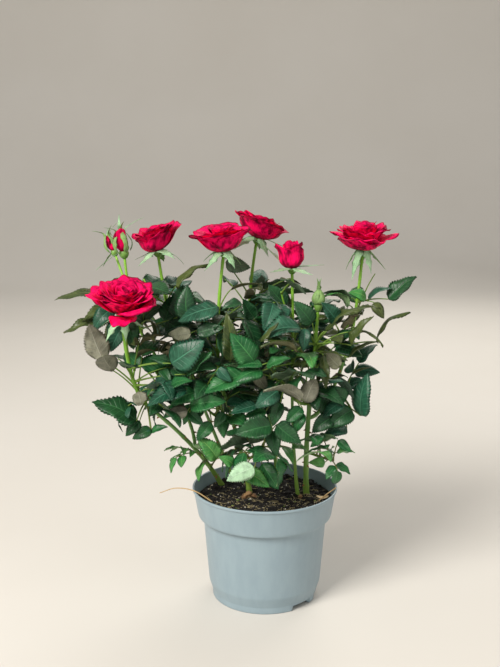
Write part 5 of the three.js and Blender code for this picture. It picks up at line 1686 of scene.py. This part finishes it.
def petalPoints(kind, form, base, frame, random):
    # a petal's middle line leaves the axis at a lean angle a(s), and r = sum of sin a, h = sum of
    # cos a; across, it is wrapped on a circle that hugs the flower. Its shoulders roll back
    # further than its middle, which leaves a point at the tip, and its edge waves.
    count = kind["petals"]
    f = (np.arange(count) / max(count - 1, 1)) ** kind["growth"]
    f = f[:, None, None]

    def ranged(key):
        low, high = kind[key]
        spread = petalShape["spread"].get(key, 0)
        return low + (high - low) * f + spread * random.uniform(-1, 1, (count, 1, 1))
    s = np.linspace(0, 1, petalShape["rows"])[None, :, None]
    t = np.linspace(-1, 1, petalShape["columns"])[None, None]
    tipPoint = kind.get("point", 0.05) * np.exp(-(t / 0.2) ** 2) * s ** 6
    place = s * (1 - 0.17 * np.abs(t) ** 2.8 - 0.05 * t * t) + tipPoint
    lean, opened, curl, length = (ranged(key) for key in ("lean", "open", "curl", "length"))
    turn = np.arange(count) * math.radians(goldenAngle) + random.uniform(-0.3, 0.3, count)
    hanging = kind.get("hanging")
    if hanging:  # the last petal has fallen open
        turn[-1] = math.radians(hanging["turn"])
        for values, key in ((lean, "lean"), (opened, "open"), (curl, "curl"), (length, "length")):
            values[-1] = hanging[key]
    skew = random.uniform(-9, 9, (count, 1, 1)) * f
    angle = lean + (opened - lean) * smooth(place / 0.6) + skew * t
    shoulder = 0.5 + 0.85 * np.abs(t) ** 1.7
    angle = angle + curl * shoulder * np.clip((place - 0.6) / 0.4, 0, 1) ** 1.7 * 1.6
    angle = np.radians(angle)
    step = np.diff(place, axis=1, prepend=0)
    radial = ranged("ring") + length * np.cumsum(np.sin(angle) * step, 1)
    height = ranged("seat") + length * np.cumsum(np.cos(angle) * step, 1)
    half = ranged("width")
    if hanging:
        half[-1] = hanging["width"]
    half = half * (0.24 + 0.76 * smooth(s / 0.62)) * (1 - 0.12 * smooth((s - 0.75) / 0.25))
    hug = np.maximum(1.1 * np.abs(radial), 2.2)
    wrap = np.clip(half * t / hug, -2.3, 2.3)
    waves = 1.2 + random.uniform(0, 1.3, (count, 1, 1))
    ruffle = kind["ruffle"] * s ** 2.5 * np.sin(np.pi * waves * t + random.uniform(0, tau, (count, 1, 1)))
    ruffle = ruffle * (0.35 + 0.65 * np.abs(t))
    radial = radial * (1 + 0.07 * t) + 0.6 * ruffle
    height = height + 0.9 * ruffle * (0.4 + f)
    x = radial - hug + hug * np.cos(wrap)
    y = hug * np.sin(wrap)
    turn = turn[:, None, None]
    across = x * np.cos(turn) - y * np.sin(turn)
    over = x * np.sin(turn) + y * np.cos(turn)
    return placed(across, over, height, base, frame, form)


def sepalPoints(kind, form, base, frame, random):
    # five leafy sepals: half width = u^0.35 (1 - u)^taper with small lobes, drawn out to a thread;
    # each leaves the hip at its pitch and bends by the square of its length. Round a closed bud
    # they lie on an egg of radius swell sin(pi (0.14 + 0.86 close u)^0.8), and flare at their ends.
    count = 5
    number = np.arange(count)[:, None, None]
    u = np.linspace(0, 1, 19)[None, :, None]
    v = np.linspace(-1, 1, 7)[None, None]
    turn = tau * (number + 0.3) / count + random.uniform(-0.12, 0.12, (count, 1, 1))
    length = kind["sepalLength"] * random.uniform(0.85, 1.15, (count, 1, 1))
    profile = u ** 0.35 * (1 - u) ** kind.get("sepalTaper", 1.25)
    profile = np.maximum(profile / profile.max(), 0.045)
    lobe = np.clip(np.sin(u * 19 + random.uniform(0, 6, (count, 1, 1))), 0, 1) * (u < 0.75)
    broad = 3.1  # the half width in millimetres of a sepal that stands free
    half = broad * profile * (1 + 0.6 * np.abs(v) ** 4 * lobe) * v
    wrapping = kind.get("wrap")
    if wrapping:
        egg = np.sin(np.pi * np.clip(0.14 + 0.86 * u * wrapping["close"], 0, 1) ** 0.8)
        flare = wrapping["flare"] * random.uniform(0.5, 1.3, (count, 1, 1))
        flare = flare * np.clip((u - 0.55) / 0.45, 0, 1) ** 1.6
        radial = wrapping["swell"] * egg + 0.35 + 0.12 * number * egg + flare
        height = kind["hipHeight"] * 0.7 + length * (u - 0.006 * flare)
        half = half * wrapping["half"] / broad
        if "fallen" in kind:  # one sepal has let go of the bud
            drop = math.radians(kind["fallen"])
            sag = u[0] * math.sin(drop) - 0.15 * u[0] ** 2
            radial[0] = kind["hip"] * 0.7 + 0.8 * length[0] * u[0] * math.cos(drop)
            height[0] = kind["hipHeight"] * 0.8 + 0.8 * length[0] * sag
        closing = np.maximum(radial, 1.5)
    else:
        pitch = kind["sepalPitch"]  # a range, or one for each sepal
        if len(pitch) == 2:
            pitch = random.uniform(*pitch, (count, 1, 1))
        else:
            pitch = np.array(pitch)[:, None, None]
        bend = np.radians(pitch + random.uniform(-34, 14, (count, 1, 1)) * u)
        step = 1 / (u.shape[1] - 1)
        radial = kind["hip"] * 0.72 + length * np.cumsum(np.cos(bend) * step, 1)
        height = kind["hipHeight"] * 0.8 + length * np.cumsum(np.sin(bend) * step, 1)
        closing = 9.0
    wrap = half / closing
    x = radial - closing + closing * np.cos(wrap)
    y = closing * np.sin(wrap)
    across = x * np.cos(turn) - y * np.sin(turn)
    over = x * np.sin(turn) + y * np.cos(turn)
    return placed(across, over, height, base, frame, form)


def hipTube(kind, size, base, frame):
    # the green hip under a flower: radius = neck + (hip - neck) sin, closed at the top
    t = np.linspace(0, 1, 12)
    swell = np.sin(np.pi * np.clip(t * 0.82 + 0.05, 0, 1)) ** 0.8
    radii = size * (1.2 + (kind["hip"] - 1.2) * swell)
    path = base + np.outer(size * (-1.5 + (kind["hipHeight"] + 2.0) * t), frame[0])
    return tubes(path[None], radii[None], 16)


def petalMaterial(name, bright, deep, clawShade):
    # velvet: hardly any gloss, painted shade in the deep colour for the folds' shadows, a rim darker in the
    # deep colour that is partly painted shade and partly the petal's own edge, painted shade at the root in
    # the claw colour, and fine threads that run up the petal
    material, tree, shader = newMaterial(name, {
        "Roughness": 0.6, "Specular IOR Level": 0.06, "Sheen Weight": 0.02, "Sheen Roughness": 0.4,
        "Sheen Tint": linear("#ff5c8c"),
    })
    along = addNode(tree, "SeparateXYZ", {}, {0: surfaceOf(tree)}).outputs[1]
    # painted shade: noise streaks about 5 mm wide, stretched up the petal, darken it the way the shadows in
    # its folds would
    foldShadows = rangeOf(tree, noiseOf(tree, 5, 2.0, stretch=(1, 1, 0.35)), 0.38, 0.68)
    body = mixOf(tree, shareOf(tree, 0.9, foldShadows), linear(bright), linear(deep))
    # painted shade: the root darkens to the claw colour, because the heart of the bloom is shaded
    root = rangeOf(tree, along, 0.42, 0.04)
    # a darker rim, partly painted shade and partly the petal's own edge colour
    rim = rangeOf(tree, along, 0.9, 1.0)
    body = mixOf(tree, shareOf(tree, 0.35, rim), body, linear(deep))
    body = mixOf(tree, shareOf(tree, 0.7, root), body, linear(clawShade))
    tree.links.new(body, shader.inputs["Base Color"])
    waves = {"Vector": surfaceOf(tree), "Scale": 7.0, "Distortion": 2.5, "Detail": 2.0}
    threads = addNode(tree, "TexWave", {"wave_type": "BANDS", "bands_direction": "X"}, waves).outputs[1]
    bumpOf(tree, shader, mathOf(tree, "MULTIPLY_ADD", threads, 0.5, noiseOf(tree, 2.5, 3.0)), 0.18)
    return material


def makeFlowers():
    random = np.random.default_rng(petalShape["seed"])
    # both petal materials paint shade in their deep and claw colours; the back's colours are darker, so it
    # carries more painted shade
    inside = petalMaterial("crimsonPetalInside", "#ff0d62", "#b00044", "#560019")
    back = petalMaterial("velvetPetalBack", "#ff0a60", "#5c0022", "#3c000c")
    green = newMaterial("greenHip", {"Roughness": 0.45, "Base Color": linear("#6f9a45")})[0]
    inner = leafMaterial("mintSepalInside", "#93c492", "#c0dfba", 0.6, -0.6)
    outer = leafMaterial("greenSepalOutside", "#7da65c", "#9dc07c", 0.55, 0.6)
    petals, leafy, hips = [], [], []
    blooms = [(mass["name"], mass["tip"], mass["flower"]) for mass in masses if "flower" in mass]
    blooms += [(mass["name"], mass["side"]["tip"], mass["side"]["flower"])
               for mass in masses if "side" in mass]
    for shoot, tip, flower in blooms:
        look, wide, tall, axis, fall = flowerLooks[shoot]
        kind = flowerKinds[look]
        base = np.array(tip, float)
        form = (flower["size"], wide, tall, fall)
        axis = unit(np.array(axis or flower["axis"], float))
        side, rise = crossDirections(axis, yAxis)
        axes = (axis, side, rise)
        points = petalPoints(kind, form, base, axes, random)
        petals.append(sheets(points, petalShape["thickness"], 0, 1))
        points = sepalPoints(kind, (*form[:3], 0), base, axes, random)  # they don't fall with it
        leafy.append(sheets(points, petalShape["sepalThickness"], 0, 1))
        hips.append(hipTube(kind, flower["size"], base, axes))
    makePiece("petals", petals, [inside, back], [])
    makePiece("sepals", leafy, [inner, outer], [])
    makePiece("hips", hips, [green], [])


makeFlowers()
print("stage: flowers")


# Litter: a dried grass stalk that has fallen over the rim, and a papery scale by its twig

litter = {
    "stalk": [(-86, -16, 93), (-73, -13, 96), (-57.5, -17, 95), (-43, -19, 86.5)],
    "stalkRadius": 0.62,
    "scale": {"place": (47, -14, 87.5), "length": 10, "width": 5.5},
    "twig": [(44, -16, 86.5), (51, -13, 91), (58.6, -9, 95)],
    "twigRadius": 0.55,
}


def smoothLine(places, rows):
    # a curve through a few places: each stretch is bent by the places on either side of it
    places = np.array(places, float)
    padded = np.concatenate([2 * places[:1] - places[1:2], places, 2 * places[-1:] - places[-2:-1]])
    t = np.linspace(0, 1, rows, endpoint=False)[:, None]
    runs = []
    for a, b, c, d in zip(padded, padded[1:], padded[2:], padded[3:]):
        runs.append(0.5 * (2 * b + (c - a) * t + (2 * a - 5 * b + 4 * c - d) * t ** 2
                           + (3 * b - a - 3 * c + d) * t ** 3))
    return np.concatenate([*runs, places[-1:]])


def makeLitter(litter):
    straw = mottledMaterial("driedGrassStalk", 0.6, 5, "#d6b98a", "#a98758")
    line = smoothLine(litter["stalk"], 12)
    twig = smoothLine(litter["twig"], 10)
    taper = litter["stalkRadius"] * np.linspace(0.55, 1, len(line))
    parts = [tubes(line[None], taper[None], 8, zAxis),
             tubes(twig[None], np.full((1, len(twig)), litter["twigRadius"]), 7, zAxis)]
    makePiece("grassStalk", parts, [straw], [])
    # the scale: a thin oval, z = sag of both its length and its width
    scale = litter["scale"]
    u, v = np.meshgrid(np.linspace(0, 1, 9), np.linspace(-1, 1, 7), indexing="ij")
    half = scale["width"] / 2 * np.sqrt(np.clip(1 - (2 * u - 1) ** 2, 0.03, 1))
    x = scale["length"] * (u - 0.5)
    grid = np.stack([x, half * v, 1.6 * (2 * u - 1) ** 2 + 1.1 * v * v], -1) + np.array(scale["place"], float)
    paper = newMaterial("paperyScale", {"Roughness": 0.8, "Base Color": linear("#cdb892")})[0]
    makePiece("paperyScale", [sheets(grid[None], 0.3)], [paper], [])


makeLitter(litter)
print("stage: litter")
